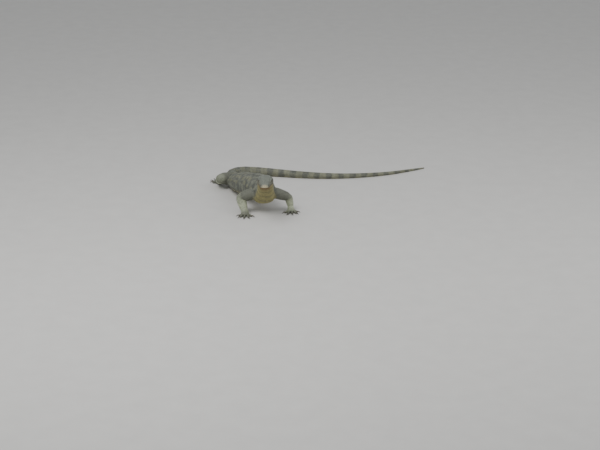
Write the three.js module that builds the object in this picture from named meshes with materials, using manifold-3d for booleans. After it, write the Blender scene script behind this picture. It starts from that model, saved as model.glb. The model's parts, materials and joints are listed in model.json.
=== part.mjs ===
// A water monitor lizard, life size, as a still model: the front propped on the forelegs, the rear on the floor.
// Millimetres, +Z up, the floor at z = 0, the head pointing along -Y, the origin under the middle of the box.
import * as THREE from "three";
import { mergeVertices } from "three/addons/utils/BufferGeometryUtils.js";
import Module from "manifold-3d";

const wasm = await Module();
wasm.setup();

// The gap between two parts of the body that meet.
const GAP = 0.3;
// How far soles, belly and tail press below the floor before they are trimmed to flats.
const PRESS = 0.25;

// Stations of the body from the snout to the hips, each with the place of its centre line, its half width,
// its height above and depth below that line, and the squareness of its upper and lower half.
// On the head the centre line is the line of the mouth.
const TRUNK = [
  { at: [0, -175, 167], wide: 14, above: 12, below: 7, top: 2.2, bottom: 2.2 },
  { at: [0, -168, 166.8], wide: 15, above: 14, below: 8, top: 2.3, bottom: 2.2 },
  { at: [0, -154, 166.2], wide: 17.5, above: 16.5, below: 9.5, top: 2.5, bottom: 2.3 },
  { at: [0, -136, 165.5], wide: 20.5, above: 20, below: 11, top: 2.6, bottom: 2.3 },
  { at: [0, -116, 164.6], wide: 25.5, above: 24.5, below: 14, top: 2.7, bottom: 2.3 },
  { at: [0, -96, 163.8], wide: 30.5, above: 26, below: 18, top: 2.6, bottom: 2.3 },
  { at: [0, -79, 161.5], wide: 32, above: 26, below: 22, top: 2.4, bottom: 2.3 },
  { at: [0, -63, 155], wide: 31, above: 27, below: 26, top: 2.2, bottom: 2.2 },
  { at: [0, -45, 138], wide: 31, above: 28, below: 30, top: 2.1, bottom: 2.2 },
  { at: [-1, -28, 118], wide: 33, above: 31, below: 34, top: 2.1, bottom: 2.3 },
  { at: [-3, -10, 102], wide: 39, above: 39, below: 41, top: 2.1, bottom: 2.5 },
  { at: [-7, 12, 93], wide: 47, above: 47, below: 50, top: 2.2, bottom: 2.6 },
  { at: [-28, 85, 85], wide: 53, above: 52, below: 50, top: 2.1, bottom: 2.4 },
  { at: [-63, 172, 70], wide: 58, above: 43, below: 48, top: 2.1, bottom: 2.4 },
  { at: [-100, 260, 49], wide: 54, above: 37, below: 43, top: 2.1, bottom: 2.4 },
  { at: [-130, 340, 31], wide: 43, above: 28, below: 31 + PRESS, top: 2.1, bottom: 2.3 },
];
// The tail's centre line on the floor: it turns behind the body and runs off to the animal's left.
const TAIL_ROUTE = [
  [-150, 398],
  [-147, 444],
  [-116, 478],
  [-62, 490],
  [15, 482],
  [128, 460],
  [250, 448],
  [378, 460],
  [505, 496],
  [615, 552],
  [672, 588],
];
// The tail is as high as wide at its root and flattened from side to side behind it.
const TAIL_ROOT = { wide: 32, high: 25.5 };
const TAIL_END = { wide: 1.6, high: 2.6 };

// Where the body is parted, counted in stations from the snout.
const PARTED_AT = { head: 6.9, neck: 10.2, chest: 12.3, belly: 14.2, hips: 16.2 };
const TAIL_PARTED_AT = [18.9, 20.9, 22.9];
const SIDES = 20;

// Head features, measured back from the snout tip, out from the middle and up from the line of the mouth.
const EYE = { back: 61, out: 20.5, up: 13.5, radius: 6.8 };
const LID = { thick: 1.5, long: 6.0, high: 4.3 };
const BROW = { from: 43, to: 84, radius: 4.2, sunk: 1.6, angle: 0.93 };
const NOSTRIL = { back: 17, long: 3.2, high: 2.0, depth: 3.2 };
const EAR = { back: 98, up: 3, long: 3.6, high: 5.6, depth: 3 };
const MOUTH = { back: 80, slit: 0.9, depth: 1.8 };
const LIP = { radius: 1.9, sunk: 1.0, up: 2.2 };
// The snout is round over its first millimetres; the head's form runs past its parting, in stations.
const NOSE_ROUND = 13.2;
const PAST_PARTING = 0.6;
const LAST_RING = 0.985;

// The legs: joints from the body outwards and the radius of the limb at each.
const FORE_RADII = { root: 23, joint: 19, end: 15, palm: [16, 10] };
const HIND_RADII = { root: 28, joint: 21.5, end: 13, palm: [15, 9.5] };
const LEGS = {
  foreleg_right: {
    joints: [[-36, 12, 87], [-101, 19, 64], [-86, 2, 19], [-81, -21, 9.2]],
    heading: [-0.12, -1],
    radii: FORE_RADII,
    digits: "fore",
    inner: -1,
  },
  foreleg_left: {
    joints: [[30, 20, 84], [89, 43, 58], [97, 46, 19], [100, 23, 9.2]],
    heading: [0.14, -1],
    radii: { ...FORE_RADII, joint: 16.5, end: 12.5, palm: [14.5, 9.5] },
    digits: "fore",
    inner: 1,
  },
  hindleg_right: {
    joints: [[-143, 343, 35], [-193, 300, 49], [-200, 362, 18], [-206, 386, 9.2]],
    heading: [-0.42, 0.9],
    radii: HIND_RADII,
    digits: "hind",
    inner: 1,
  },
  hindleg_left: {
    joints: [[-108, 352, 34], [-56, 325, 42], [-50, 384, 18], [-31, 374, 9.2]],
    heading: [0.9, -0.42],
    radii: HIND_RADII,
    digits: "hind",
    inner: 1,
  },
};
// Digits from the innermost out: length without the claw, and turn from the foot's heading in degrees.
const DIGITS = {
  fore: [
    { long: 17, turn: 58 },
    { long: 25, turn: 27 },
    { long: 29, turn: 1 },
    { long: 28, turn: -25 },
    { long: 21, turn: -62 },
  ],
  hind: [
    { long: 18, turn: 44 },
    { long: 28, turn: 20 },
    { long: 37, turn: 1 },
    { long: 43, turn: -19 },
    { long: 25, turn: -58 },
  ],
};
const DIGIT_RADIUS = 4.6;
const CLAW = { long: 13, radius: 2.7, tip: 0.4, rise: 3.2 };

// Colours of the sub-parts.
const SKIN = { color: 0x6b6e66, roughness: 0.62, metalness: 0 };
const PALE = { color: 0x8d917f, roughness: 0.62, metalness: 0 };
const EYE_LOOK = { color: 0x1c140d, roughness: 0.08, metalness: 0 };

const UP = new THREE.Vector3(0, 0, 1);
const vec = (a) => new THREE.Vector3(...a);
const mix = THREE.MathUtils.lerp;

// A closed three.js geometry as a solid that can be joined and cut.
function solidOf(geometry) {
  const bare = geometry.clone();
  bare.deleteAttribute("normal");
  bare.deleteAttribute("uv");
  const merged = mergeVertices(bare, 1e-4);
  const mesh = new wasm.Mesh({
    numProp: 3,
    vertProperties: merged.attributes.position.array,
    triVerts: new Uint32Array(merged.index.array),
  });
  return new wasm.Manifold(mesh);
}

// The vertices and triangles of a solid as a three.js geometry.
function geometryOf(solid) {
  const mesh = solid.getMesh();
  const geometry = new THREE.BufferGeometry();
  geometry.setAttribute("position", new THREE.BufferAttribute(mesh.vertProperties, 3));
  geometry.setIndex(new THREE.BufferAttribute(mesh.triVerts, 1));
  geometry.computeVertexNormals();
  return geometry;
}

// Only the largest closed surface of a solid.
function largest(solid) {
  const bodies = solid.decompose();
  return bodies.reduce((best, body) => (body.volume() > best.volume() ? body : best));
}

// The whole line of the body, snout to tail tip, with the section at every station.
function tailStations() {
  return TAIL_ROUTE.map(([x, y], i) => {
    const share = (i + 1) / TAIL_ROUTE.length;
    const wide = mix(TAIL_ROOT.wide, TAIL_END.wide, share ** 0.72);
    const high = mix(TAIL_ROOT.high, TAIL_END.high, share ** 1.25);
    const at = [x, y, high - PRESS];
    return { at, wide, above: high, below: high, top: mix(2.0, 1.45, share), bottom: 2.0 };
  });
}
const STATIONS = [...TRUNK, ...tailStations()];
const LAST = STATIONS.length - 1;
const CENTRE = new THREE.CatmullRomCurve3(STATIONS.map((s) => vec(s.at)));
const SIZE = new THREE.CatmullRomCurve3(
  STATIONS.map((s) => new THREE.Vector3(s.wide, s.above, s.below)),
  false,
  "catmullrom",
  0.5,
);

// Centre, axes and section of the body at a station number, which may lie between two stations.
function bodyAt(station) {
  const t = Math.min(Math.max(station / LAST, 0), 1);
  const centre = CENTRE.getPoint(t);
  const along = CENTRE.getTangent(t);
  const side = new THREE.Vector3().crossVectors(along, UP).normalize();
  const up = new THREE.Vector3().crossVectors(side, along);
  const size = SIZE.getPoint(t);
  const i = Math.min(Math.floor(t * LAST), LAST - 1);
  const f = t * LAST - i;
  const top = mix(STATIONS[i].top, STATIONS[i + 1].top, f);
  const bottom = mix(STATIONS[i].bottom, STATIONS[i + 1].bottom, f);
  return { centre, side, up, along, wide: size.x, above: size.y, below: size.z, top, bottom };
}

// A point of a section: c and s are the cosine and sine of its angle, from the animal's side to its back.
function sectionPoint(frame, c, s, grow) {
  const power = 2 / (s > 0 ? frame.top : frame.bottom);
  const high = (s > 0 ? frame.above : frame.below) + grow;
  const across = Math.sign(c) * Math.abs(c) ** power * (frame.wide + grow);
  const upwards = Math.sign(s) * Math.abs(s) ** power * high;
  return frame.centre.clone().addScaledVector(frame.side, across).addScaledVector(frame.up, upwards);
}

// Moves each vertex of a geometry of rings round Y: place(share, c, s, reach) gives its new place.
function reshape(geometry, shareOf, place) {
  const p = geometry.attributes.position;
  for (let i = 0; i < p.count; i++) {
    const reach = Math.hypot(p.getX(i), p.getZ(i));
    const c = reach > 1e-6 ? p.getX(i) / reach : 0;
    const s = reach > 1e-6 ? p.getZ(i) / reach : 0;
    const to = place(shareOf(p.getY(i)), c, s, reach > 1e-6);
    p.setXYZ(i, to.x, to.y, to.z);
  }
  return geometry;
}

// A length of the body between two stations, with flat ends.
function bodyLength(from, to, rings, grow = 0) {
  const tube = new THREE.CylinderGeometry(1, 1, 1, SIDES, rings);
  return reshape(tube, (y) => y + 0.5, (share, c, s, rim) => {
    const frame = bodyAt(mix(from, to, share));
    return rim ? sectionPoint(frame, c, s, grow) : frame.centre;
  });
}

// The station numbers on either side of a parting, half the gap from it.
function parting(station) {
  const step = 0.01;
  const speed = bodyAt(station - step).centre.distanceTo(bodyAt(station + step).centre) / (2 * step);
  return { before: station - GAP / 2 / speed, after: station + GAP / 2 / speed };
}

// A closed form along a curve, round at both ends; size(share) gives its half width and half height.
function spindle(curve, size, sides, rings, round, sideways) {
  const ball = new THREE.SphereGeometry(1, sides, rings);
  return reshape(ball, (y) => 1 - Math.acos(THREE.MathUtils.clamp(y, -1, 1)) / Math.PI, (share, c, s) => {
    const centre = curve.getPoint(share);
    const along = curve.getTangent(share);
    const side = sideways ? sideways.clone() : new THREE.Vector3().crossVectors(along, UP);
    side.addScaledVector(along, -side.dot(along)).normalize();
    const up = new THREE.Vector3().crossVectors(side, along);
    const near = Math.min(share, 1 - share) / round;
    const shrink = near < 1 ? Math.sqrt(Math.max(1 - (1 - near) ** 2, 0)) : 1;
    const [wide, high] = size(share);
    return centre.addScaledVector(side, c * wide * shrink).addScaledVector(up, s * high * shrink);
  });
}

// Part of a limb from one joint to the next, swelling a little below the first joint.
function limb(from, to, radiusFrom, radiusTo, swell, grow = 0) {
  const a = vec(from);
  const b = vec(to);
  const along = b.clone().sub(a).normalize();
  const curve = new THREE.LineCurve3(
    a.clone().addScaledVector(along, -radiusFrom * 0.75 - grow),
    b.clone().addScaledVector(along, radiusTo * 0.75 + grow),
  );
  const sideways = new THREE.Vector3().crossVectors(along, Math.abs(along.z) > 0.8 ? vec([0, 1, 0]) : UP);
  const size = (share) => {
    const radius = mix(radiusFrom, radiusTo, share) + swell * Math.sin(Math.PI * share ** 0.75) + grow;
    return [radius, radius];
  };
  return solidOf(spindle(curve, size, 12, 8, 0.3, sideways));
}

// A sphere stretched along X, Y and Z and set at a place, turned so that its Z points along a direction.
function pip(place, stretch, towards) {
  const ball = new THREE.SphereGeometry(1, 12, 8).scale(...stretch);
  ball.applyQuaternion(new THREE.Quaternion().setFromUnitVectors(UP, towards.clone().normalize()));
  return solidOf(ball.translate(place.x, place.y, place.z));
}

// A toe, arched over the floor, with its claw curving down to a point just above the floor.
function digit(root, heading, long, radius) {
  const forward = vec([heading.x, heading.y, 0]).normalize();
  const on = (distance, z) => root.clone().addScaledVector(forward, distance).setZ(z);
  const low = radius - PRESS;
  const toe = new THREE.CatmullRomCurve3([
    on(-7, radius + 3),
    on(long * 0.35, radius + 2.4),
    on(long * 0.72, low - 1.15),
    on(long, low * 0.78),
  ]);
  const toeSize = (share) => {
    const knuckle = 1 + 0.1 * Math.cos(share * 4 * Math.PI);
    return [mix(radius, radius * 0.78, share) * knuckle, mix(radius, radius * 0.74, share) * knuckle];
  };
  const claw = new THREE.CatmullRomCurve3([
    on(long - 4, low),
    on(long + CLAW.long * 0.35, low + CLAW.rise * 0.5),
    on(long + CLAW.long * 0.75, low),
    on(long + CLAW.long, CLAW.tip + 0.5),
  ]);
  const clawSize = (share) => {
    const size = mix(CLAW.radius, CLAW.tip, share ** 1.3);
    return [size * 0.72, size];
  };
  const toeSolid = solidOf(spindle(toe, toeSize, 8, 7, 0.16));
  return toeSolid.add(solidOf(spindle(claw, clawSize, 6, 5, 0.06)));
}

// A foot: the palm or sole, and five digits spread from its front edge.
function foot(leg) {
  const [, , wrist, knuckles] = leg.joints;
  const [wide, high] = leg.radii.palm;
  const heading = new THREE.Vector2(...leg.heading).normalize();
  const sideways = vec([heading.y, -heading.x, 0]);
  const palm = new THREE.CatmullRomCurve3([
    vec(wrist),
    vec(wrist).lerp(vec(knuckles), 0.5).setZ(high + 2),
    vec(knuckles).add(vec([heading.x * 8, heading.y * 8, -3.7])),
  ]);
  const palmSize = (share) => [mix(leg.radii.end, wide, share), mix(leg.radii.end, high * 0.78, share)];
  let solid = solidOf(spindle(palm, palmSize, 12, 7, 0.3, sideways));
  DIGITS[leg.digits].forEach(({ long, turn }, i) => {
    const angle = THREE.MathUtils.degToRad(turn) * leg.inner;
    const towards = heading.clone().rotateAround(new THREE.Vector2(), angle);
    const outward = (2 - i) * wide * 0.36 * leg.inner;
    const root = vec(knuckles).addScaledVector(sideways, -outward);
    root.addScaledVector(vec([towards.x, towards.y, 0]), Math.abs(turn) > 40 ? -2 : 3);
    solid = solid.add(digit(root, towards, long, DIGIT_RADIUS));
  });
  return solid;
}

// Everything below the floor is trimmed away, which leaves the flats that the animal rests on.
const FLOOR_CUT = solidOf(new THREE.BoxGeometry(2400, 2400, 400).translate(0, 0, -200));
const onFloor = (solid) => largest(solid.subtract(FLOOR_CUT));

// A point of the head from its distance behind the snout tip, out from the middle and above the mouth.
function headPoint(back, out, up) {
  const y = TRUNK[0].at[1] + back;
  const i = TRUNK.findIndex((s, k) => s.at[1] <= y && TRUNK[k + 1].at[1] > y);
  const f = (y - TRUNK[i].at[1]) / (TRUNK[i + 1].at[1] - TRUNK[i].at[1]);
  return { point: new THREE.Vector3(out, y, mix(TRUNK[i].at[2], TRUNK[i + 1].at[2], f) + up), station: i + f };
}

// The surface of the head beside a height above the mouth.
function headSurface(back, side, up) {
  const { station } = headPoint(back, 0, 0);
  const frame = bodyAt(station);
  const high = up > 0 ? frame.above : frame.below;
  const power = 2 / (up > 0 ? frame.top : frame.bottom);
  const s = Math.sign(up) * (Math.abs(up) / high) ** (1 / power);
  return sectionPoint(frame, side * Math.sqrt(1 - s * s), s, 0);
}

// The head as one closed form whose snout is round and whose back is flat.
function headForm() {
  const ball = new THREE.SphereGeometry(1, 24, 30);
  const end = PARTED_AT.head + PAST_PARTING;
  const place = (share, c, s) => {
    const eased = share * share * (1.35 - 0.35 * share);
    const frame = bodyAt(end * eased);
    const near = (frame.centre.y - TRUNK[0].at[1]) / NOSE_ROUND;
    const shrink = near < 1 ? Math.sqrt(Math.max(1 - (1 - near) ** 2, 0)) : 1;
    const open = share < LAST_RING ? shrink : 0;
    const point = sectionPoint(frame, c, s, 0);
    return frame.centre.clone().lerp(point, open);
  };
  const form = solidOf(reshape(ball, (y) => 1 - Math.acos(THREE.MathUtils.clamp(y, -1, 1)) / Math.PI, place));
  const back = bodyAt(parting(PARTED_AT.head).before);
  const normal = back.along.clone().negate();
  return form.trimByPlane([normal.x, normal.y, normal.z], normal.dot(back.centre));
}

// Raised lips over and under the line of the mouth, from one corner round the snout to the other.
function lips() {
  const steps = 11;
  let solid = null;
  for (const up of [LIP.up, -LIP.up]) {
    const half = [];
    for (let i = 0; i <= steps; i++) {
      const back = mix(MOUTH.back, 9, i / steps);
      const p = headSurface(back, 1, up);
      half.push(p.setX(p.x - LIP.sunk));
    }
    const front = headPoint(LIP.sunk + 1.5, 0, up).point;
    const route = [...half, front, ...half.map((p) => p.clone().setX(-p.x)).reverse()];
    const curve = new THREE.CatmullRomCurve3(route);
    const size = () => [LIP.radius, LIP.radius];
    const lip = solidOf(spindle(curve, size, 6, 26, 0.03));
    solid = solid ? solid.add(lip) : lip;
  }
  return solid;
}

// The slit of the mouth: a thin flat ring between the head's skin and a core that stays whole.
function mouthSlit(form) {
  const middle = headPoint(MOUTH.back / 2, 0, 0).point;
  const slab = new THREE.BoxGeometry(120, MOUTH.back + 12, MOUTH.slit);
  const tilt = Math.atan2(TRUNK[0].at[2] - TRUNK[5].at[2], TRUNK[5].at[1] - TRUNK[0].at[1]);
  slab.rotateX(-tilt).translate(0, middle.y - 6, middle.z);
  const centre = headPoint(MOUTH.back / 2, 0, 4).point;
  const shrink = (size) => 1 - (2 * MOUTH.depth) / size;
  const core = form
    .translate([-centre.x, -centre.y, -centre.z])
    .scale([shrink(50), shrink(110), 1])
    .translate([centre.x, centre.y, centre.z]);
  return solidOf(slab).subtract(core);
}

function eyeCentre(side) {
  return headPoint(EYE.back, side * EYE.out, EYE.up).point;
}

// Which way an eye looks: outwards, a little forwards and up.
const gaze = (side) => new THREE.Vector3(side, -0.32, 0.16).normalize();

// The ridge over an eye, lying in the corner between the top and the side of the head.
function brow(side) {
  const route = [];
  for (let i = 0; i <= 4; i++) {
    const { station } = headPoint(mix(BROW.from, BROW.to, i / 4), 0, 0);
    const [c, s] = [side * Math.cos(BROW.angle), Math.sin(BROW.angle)];
    route.push(sectionPoint(bodyAt(station), c, s, -BROW.sunk));
  }
  return solidOf(spindle(new THREE.CatmullRomCurve3(route), () => [BROW.radius, BROW.radius], 8, 8, 0.5));
}

// The head with lips, brows, lids, nostrils, ears and the line of the mouth.
function headSolid() {
  const form = headForm();
  let head = form.add(lips());
  const lidSize = EYE.radius + LID.thick;
  for (const side of [-1, 1]) {
    head = head.add(pip(eyeCentre(side), [lidSize, lidSize, lidSize], UP)).add(brow(side));
  }
  head = head.subtract(mouthSlit(form));
  const hollow = EYE.radius + GAP;
  for (const side of [-1, 1]) {
    const eye = eyeCentre(side);
    head = head.subtract(pip(eye, [hollow, hollow, hollow], UP));
    const opening = new THREE.SphereGeometry(1, 14, 8).scale(LID.high, LID.long, 9);
    opening.rotateY((side * Math.PI) / 2).rotateX(0.12);
    const out = eye.clone().addScaledVector(gaze(side), EYE.radius);
    head = head.subtract(solidOf(opening.translate(out.x, out.y, out.z)));
    const nostril = headSurface(NOSTRIL.back, side, 8);
    head = head.subtract(pip(nostril, [NOSTRIL.depth, NOSTRIL.long, NOSTRIL.high], UP));
    const ear = headSurface(EAR.back, side, EAR.up);
    head = head.subtract(pip(ear, [EAR.depth, EAR.long, EAR.high], UP));
  }
  return largest(head);
}

const model = new THREE.Group();
function addNode(name, solid, look) {
  const mesh = new THREE.Mesh(geometryOf(solid), new THREE.MeshStandardMaterial(look));
  mesh.name = name;
  model.add(mesh);
}

// Head and eyes.
addNode("head", headSolid(), SKIN);
for (const [name, side] of [["eye_right", -1], ["eye_left", 1]]) {
  addNode(name, pip(eyeCentre(side), [EYE.radius, EYE.radius, EYE.radius], UP), EYE_LOOK);
}

// Neck, the three lengths of the trunk and the four of the tail.
const LENGTHS = [
  ["neck", PARTED_AT.head, PARTED_AT.neck, 9],
  ["chest", PARTED_AT.neck, PARTED_AT.chest, 8],
  ["belly", PARTED_AT.chest, PARTED_AT.belly, 9],
  ["hips", PARTED_AT.belly, PARTED_AT.hips, 8],
  ["tail_root", PARTED_AT.hips, TAIL_PARTED_AT[0], 12],
  ["tail_upper", TAIL_PARTED_AT[0], TAIL_PARTED_AT[1], 9],
  ["tail_lower", TAIL_PARTED_AT[1], TAIL_PARTED_AT[2], 9],
  ["tail_end", TAIL_PARTED_AT[2], LAST, 12],
];
// The trunk swollen by the gap, over the partings too, cuts the legs clear of it.
let trunkGrown = solidOf(bodyLength(PARTED_AT.head, TAIL_PARTED_AT[0], 48, GAP));
for (const [name, from, to, rings] of LENGTHS) {
  const start = parting(from).after;
  const stop = to === LAST ? LAST : parting(to).before;
  addNode(name, onFloor(solidOf(bodyLength(start, stop, rings))), SKIN);
  trunkGrown = trunkGrown.add(solidOf(bodyLength(start, stop, rings, GAP)));
}

// Each leg in three parts, each cut clear of the one it grows from.
for (const [name, leg] of Object.entries(LEGS)) {
  const [root, joint, end] = leg.joints;
  const { radii } = leg;
  const upper = (grow) => limb(root, joint, radii.root, radii.joint, 1.5, grow);
  const lower = (grow) => limb(joint, end, radii.joint * 0.96, radii.end, 1, grow);
  const names = name.startsWith("fore") ? ["arm", "forearm", "hand"] : ["thigh", "shank", "foot"];
  const clear = (solid) => onFloor(solid.subtract(trunkGrown));
  addNode(name + "_" + names[0], clear(upper(0)), SKIN);
  addNode(name + "_" + names[1], clear(lower(0).subtract(upper(GAP))), PALE);
  const feet = foot(leg).subtract(lower(GAP)).subtract(upper(GAP));
  addNode(name + "_" + names[2], clear(feet), PALE);
}

// The origin goes under the middle of the whole box.
const box = new THREE.Box3().setFromObject(model);
model.position.set(-(box.min.x + box.max.x) / 2, -(box.min.y + box.max.y) / 2, 0);

export default model;
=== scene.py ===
# %% [markdown]
# # A water monitor lizard, life size
# A museum shows such a lizard as a still model: one unbroken skin over the whole animal, scales laid on it
# in rings, glass eyes behind real lids, and horn claws. It could be sculpted by hand, but here it grows from
# a few measured sections and lines, so that every size can be read and changed.

# %% Load the frame
import json
import math

import bmesh
import bpy
import numpy as np
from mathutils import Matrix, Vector
from mathutils.bvhtree import BVHTree
from mathutils.kdtree import KDTree

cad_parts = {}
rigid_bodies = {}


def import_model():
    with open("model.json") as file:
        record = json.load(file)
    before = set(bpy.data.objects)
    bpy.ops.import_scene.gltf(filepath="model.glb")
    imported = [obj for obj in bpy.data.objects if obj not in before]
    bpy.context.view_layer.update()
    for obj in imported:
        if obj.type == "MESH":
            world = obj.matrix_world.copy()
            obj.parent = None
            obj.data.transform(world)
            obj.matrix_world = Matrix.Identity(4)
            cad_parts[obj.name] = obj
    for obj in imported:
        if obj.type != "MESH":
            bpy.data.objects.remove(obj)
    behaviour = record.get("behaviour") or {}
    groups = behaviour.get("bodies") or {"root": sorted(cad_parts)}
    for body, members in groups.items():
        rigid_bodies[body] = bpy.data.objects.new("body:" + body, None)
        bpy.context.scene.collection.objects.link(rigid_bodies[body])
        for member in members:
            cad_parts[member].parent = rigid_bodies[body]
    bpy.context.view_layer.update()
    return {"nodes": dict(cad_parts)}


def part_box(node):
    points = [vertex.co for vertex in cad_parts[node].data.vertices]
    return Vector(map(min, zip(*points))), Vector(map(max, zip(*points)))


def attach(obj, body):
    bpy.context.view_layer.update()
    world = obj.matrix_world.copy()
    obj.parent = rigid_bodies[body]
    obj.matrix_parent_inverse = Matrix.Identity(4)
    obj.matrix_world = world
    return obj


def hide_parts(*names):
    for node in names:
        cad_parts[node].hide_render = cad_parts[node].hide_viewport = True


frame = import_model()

print("frame holds", len(frame["nodes"]), "nodes")

# %% [markdown]
# ## Where things are
# A maker measures the animal in millimetres from one point between its shoulders and hangs every section on
# that. The frame's boxes give places too, but a box doesn't say how full a section is. So the sections are
# stated here, and only the place of the eyes, which are the landmark, is taken from the frame.

# %% Landmark and units
MM = 0.001
SNOUT_TIP_Y = -175
EYE_BACK = 61


def box_centre(node):
    low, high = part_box(node)
    return (Vector(low) + Vector(high)) / 2


eye_middle = (box_centre("eye_right") + box_centre("eye_left")) / 2
SHIFT = np.array([eye_middle.x, eye_middle.y - (SNOUT_TIP_Y + EYE_BACK) * MM, 0.0])
print("between the eyes:", [round(v, 4) for v in eye_middle])

# %% Stations of the body
# x, y, z of the centre line, half width, height above it, depth below it, squareness above and below.
TRUNK = [
    (0, -175, 167, 14, 12, 7, 2.2, 2.2),
    (0, -168, 166.8, 15, 14, 8, 2.3, 2.2),
    (0, -154, 166.2, 17.5, 16.5, 9.5, 2.5, 2.3),
    (0, -136, 165.5, 20.5, 20, 11, 2.6, 2.3),
    (0, -116, 164.6, 25.5, 24.5, 14, 2.7, 2.3),
    (0, -96, 163.8, 30.5, 26, 18, 2.6, 2.3),
    (0, -79, 161.5, 32, 26, 22, 2.4, 2.3),
    (0, -63, 155, 31, 27, 26, 2.2, 2.2),
    (0, -45, 138, 31, 28, 30, 2.1, 2.2),
    (-1, -28, 118, 33, 31, 34, 2.1, 2.3),
    (-3, -10, 102, 39, 39, 41, 2.1, 2.5),
    (-7, 12, 93, 47, 47, 50, 2.2, 2.6),
    (-28, 85, 85, 53, 52, 50, 2.1, 2.4),
    (-63, 172, 70, 58, 43, 48, 2.1, 2.4),
    (-100, 260, 49, 54, 37, 43, 2.1, 2.4),
    (-130, 340, 31, 43, 28, 31.25, 2.1, 2.3),
]
# The tail's route over the floor, from behind the hips to its tip.
TAIL_ROUTE = [
    (-150, 398), (-147, 444), (-116, 478), (-62, 490), (15, 482), (128, 460),
    (250, 448), (378, 460), (505, 496), (615, 552), (672, 588),
]
# Half width, half height and squareness at its root and tip. Its width falls off at once and its height
# later, so that it is flattened from side to side.
TAIL_ROOT = (32, 25.5, 2.0)
TAIL_END = (1.6, 2.6, 1.45)
TAIL_TAPER = (0.72, 1.25, 1)
ROUND = 2.0
# How deep the tail and toes are pressed into their flats, in mm.
PRESS = 0.25


def mix(a, b, f):
    return a + (b - a) * f


stations = [list(row) for row in TRUNK]
for i, (x, y) in enumerate(TAIL_ROUTE):
    share = (i + 1) / len(TAIL_ROUTE)
    wide, high, square = (mix(a, b, share**taper) for a, b, taper in zip(TAIL_ROOT, TAIL_END, TAIL_TAPER))
    stations.append([x, y, high - PRESS, wide, high, high, square, ROUND])
STATIONS = np.array(stations, dtype=float)
STATIONS[:, :6] *= MM
STATIONS[:, :2] += SHIFT[:2]
LAST = len(STATIONS) - 1
print("stations along the body:", LAST + 1)

# %% [markdown]
# ## A smooth line through the stations
# A body is a row of sections threaded on its backbone. It could be lofted from drawn rings, but rings bunch
# up where the neck bends. So the backbone is one curve through all stations, and the sizes are carried
# smoothly between them. Every mark, fold and scale is later placed by how far down this line it lies and how
# far round it.


# %% A curve through points
def spline(points, at, even=False):
    """Points of a smooth curve through given points; at counts in points from the first one."""
    points = np.asarray(points, dtype=float)
    last = len(points) - 1
    at = np.clip(np.asarray(at, dtype=float), 0, last)
    i = np.minimum(np.floor(at).astype(int), last - 1)
    f = (at - i)[:, None]
    padded = np.vstack([2 * points[0] - points[1], points, 2 * points[-1] - points[-2]])
    p0, p1, p2, p3 = padded[i], padded[i + 1], padded[i + 2], padded[i + 3]
    if even:
        m1, m2 = 0.5 * (p2 - p0), 0.5 * (p3 - p1)
    else:
        d0, d1, d2 = (
            np.sqrt(np.linalg.norm(b - a, axis=1))[:, None] for a, b in ((p0, p1), (p1, p2), (p2, p3))
        )
        m1 = ((p1 - p0) / d0 - (p2 - p0) / (d0 + d1) + (p2 - p1) / d1) * d1
        m2 = ((p2 - p1) / d1 - (p3 - p1) / (d1 + d2) + (p3 - p2) / d2) * d1
    return p1 + m1 * f + (3 * (p2 - p1) - 2 * m1 - m2) * f**2 + (2 * (p1 - p2) + m1 + m2) * f**3


def unit(v):
    return v / np.maximum(np.linalg.norm(v, axis=-1, keepdims=True), 1e-12)


print("halfway along a straight line:", spline([[0, 0, 0], [1, 0, 0], [2, 0, 0]], [1.0])[0])

# %% The body line and its sections
STEP = 0.002
NOSE_ROUND = 13.2 * MM
TAIL_ROUND = 0.05
NOSE_STATIONS = 4


def body_at(at):
    """Centre, side, up, sizes and squareness of the body at station numbers."""
    at = np.atleast_1d(np.asarray(at, dtype=float))
    centre = spline(STATIONS[:, :3], at)
    ahead = spline(STATIONS[:, :3], np.minimum(at + STEP, LAST))
    behind = spline(STATIONS[:, :3], np.maximum(at - STEP, 0))
    along = unit(ahead - behind)
    side = unit(np.cross(along, [0, 0, 1]))
    up = np.cross(side, along)
    sizes = spline(STATIONS[:, 3:6], at, even=True)
    i = np.minimum(np.floor(np.clip(at, 0, LAST)).astype(int), LAST - 1)
    f = (np.clip(at, 0, LAST) - i)[:, None]
    return centre, side, up, sizes, mix(STATIONS[i, 6:8], STATIONS[i + 1, 6:8], f)


def section_points(at, c, s, grow=0.0):
    """Centres and rims of the sections; c and s are the cosine and sine of the angle from side to back."""
    centre, side, up, sizes, square = body_at(at)
    power = 2 / np.where(s > 0, square[:, 0], square[:, 1])
    high = np.where(s > 0, sizes[:, 1], sizes[:, 2]) + grow
    across = np.sign(c) * np.abs(c) ** power * (sizes[:, 0] + grow)
    upwards = np.sign(s) * np.abs(s) ** power * high
    return centre, centre + side * across[:, None] + up * upwards[:, None]


def body_surface(at, c, s):
    """The body's surface with the snout and the tip of the tail rounded off."""
    centre, rim = section_points(at, c, s)
    from_snout = (centre[:, 1] - STATIONS[0, 1]) / NOSE_ROUND
    near = np.where(at > NOSE_STATIONS, (LAST - at) / TAIL_ROUND, from_snout)
    shrink = np.sqrt(1 - (1 - np.clip(near, 0, 1)) ** 2)[:, None]
    return centre + (rim - centre) * shrink


# %% How far down the body and how far round it a point lies
def tree_of(points):
    tree = KDTree(len(points))
    for i, point in enumerate(points):
        tree.insert(point, i)
    tree.balance()
    return tree


FINE_STEPS = 2600
FINE_AT = np.linspace(0, LAST, FINE_STEPS)
FINE = body_at(FINE_AT)
FINE_DOWN = np.concatenate([[0], np.cumsum(np.linalg.norm(np.diff(FINE[0], axis=0), axis=1))])
TOTAL = float(FINE_DOWN[-1])
body_tree = tree_of(FINE[0])


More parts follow.
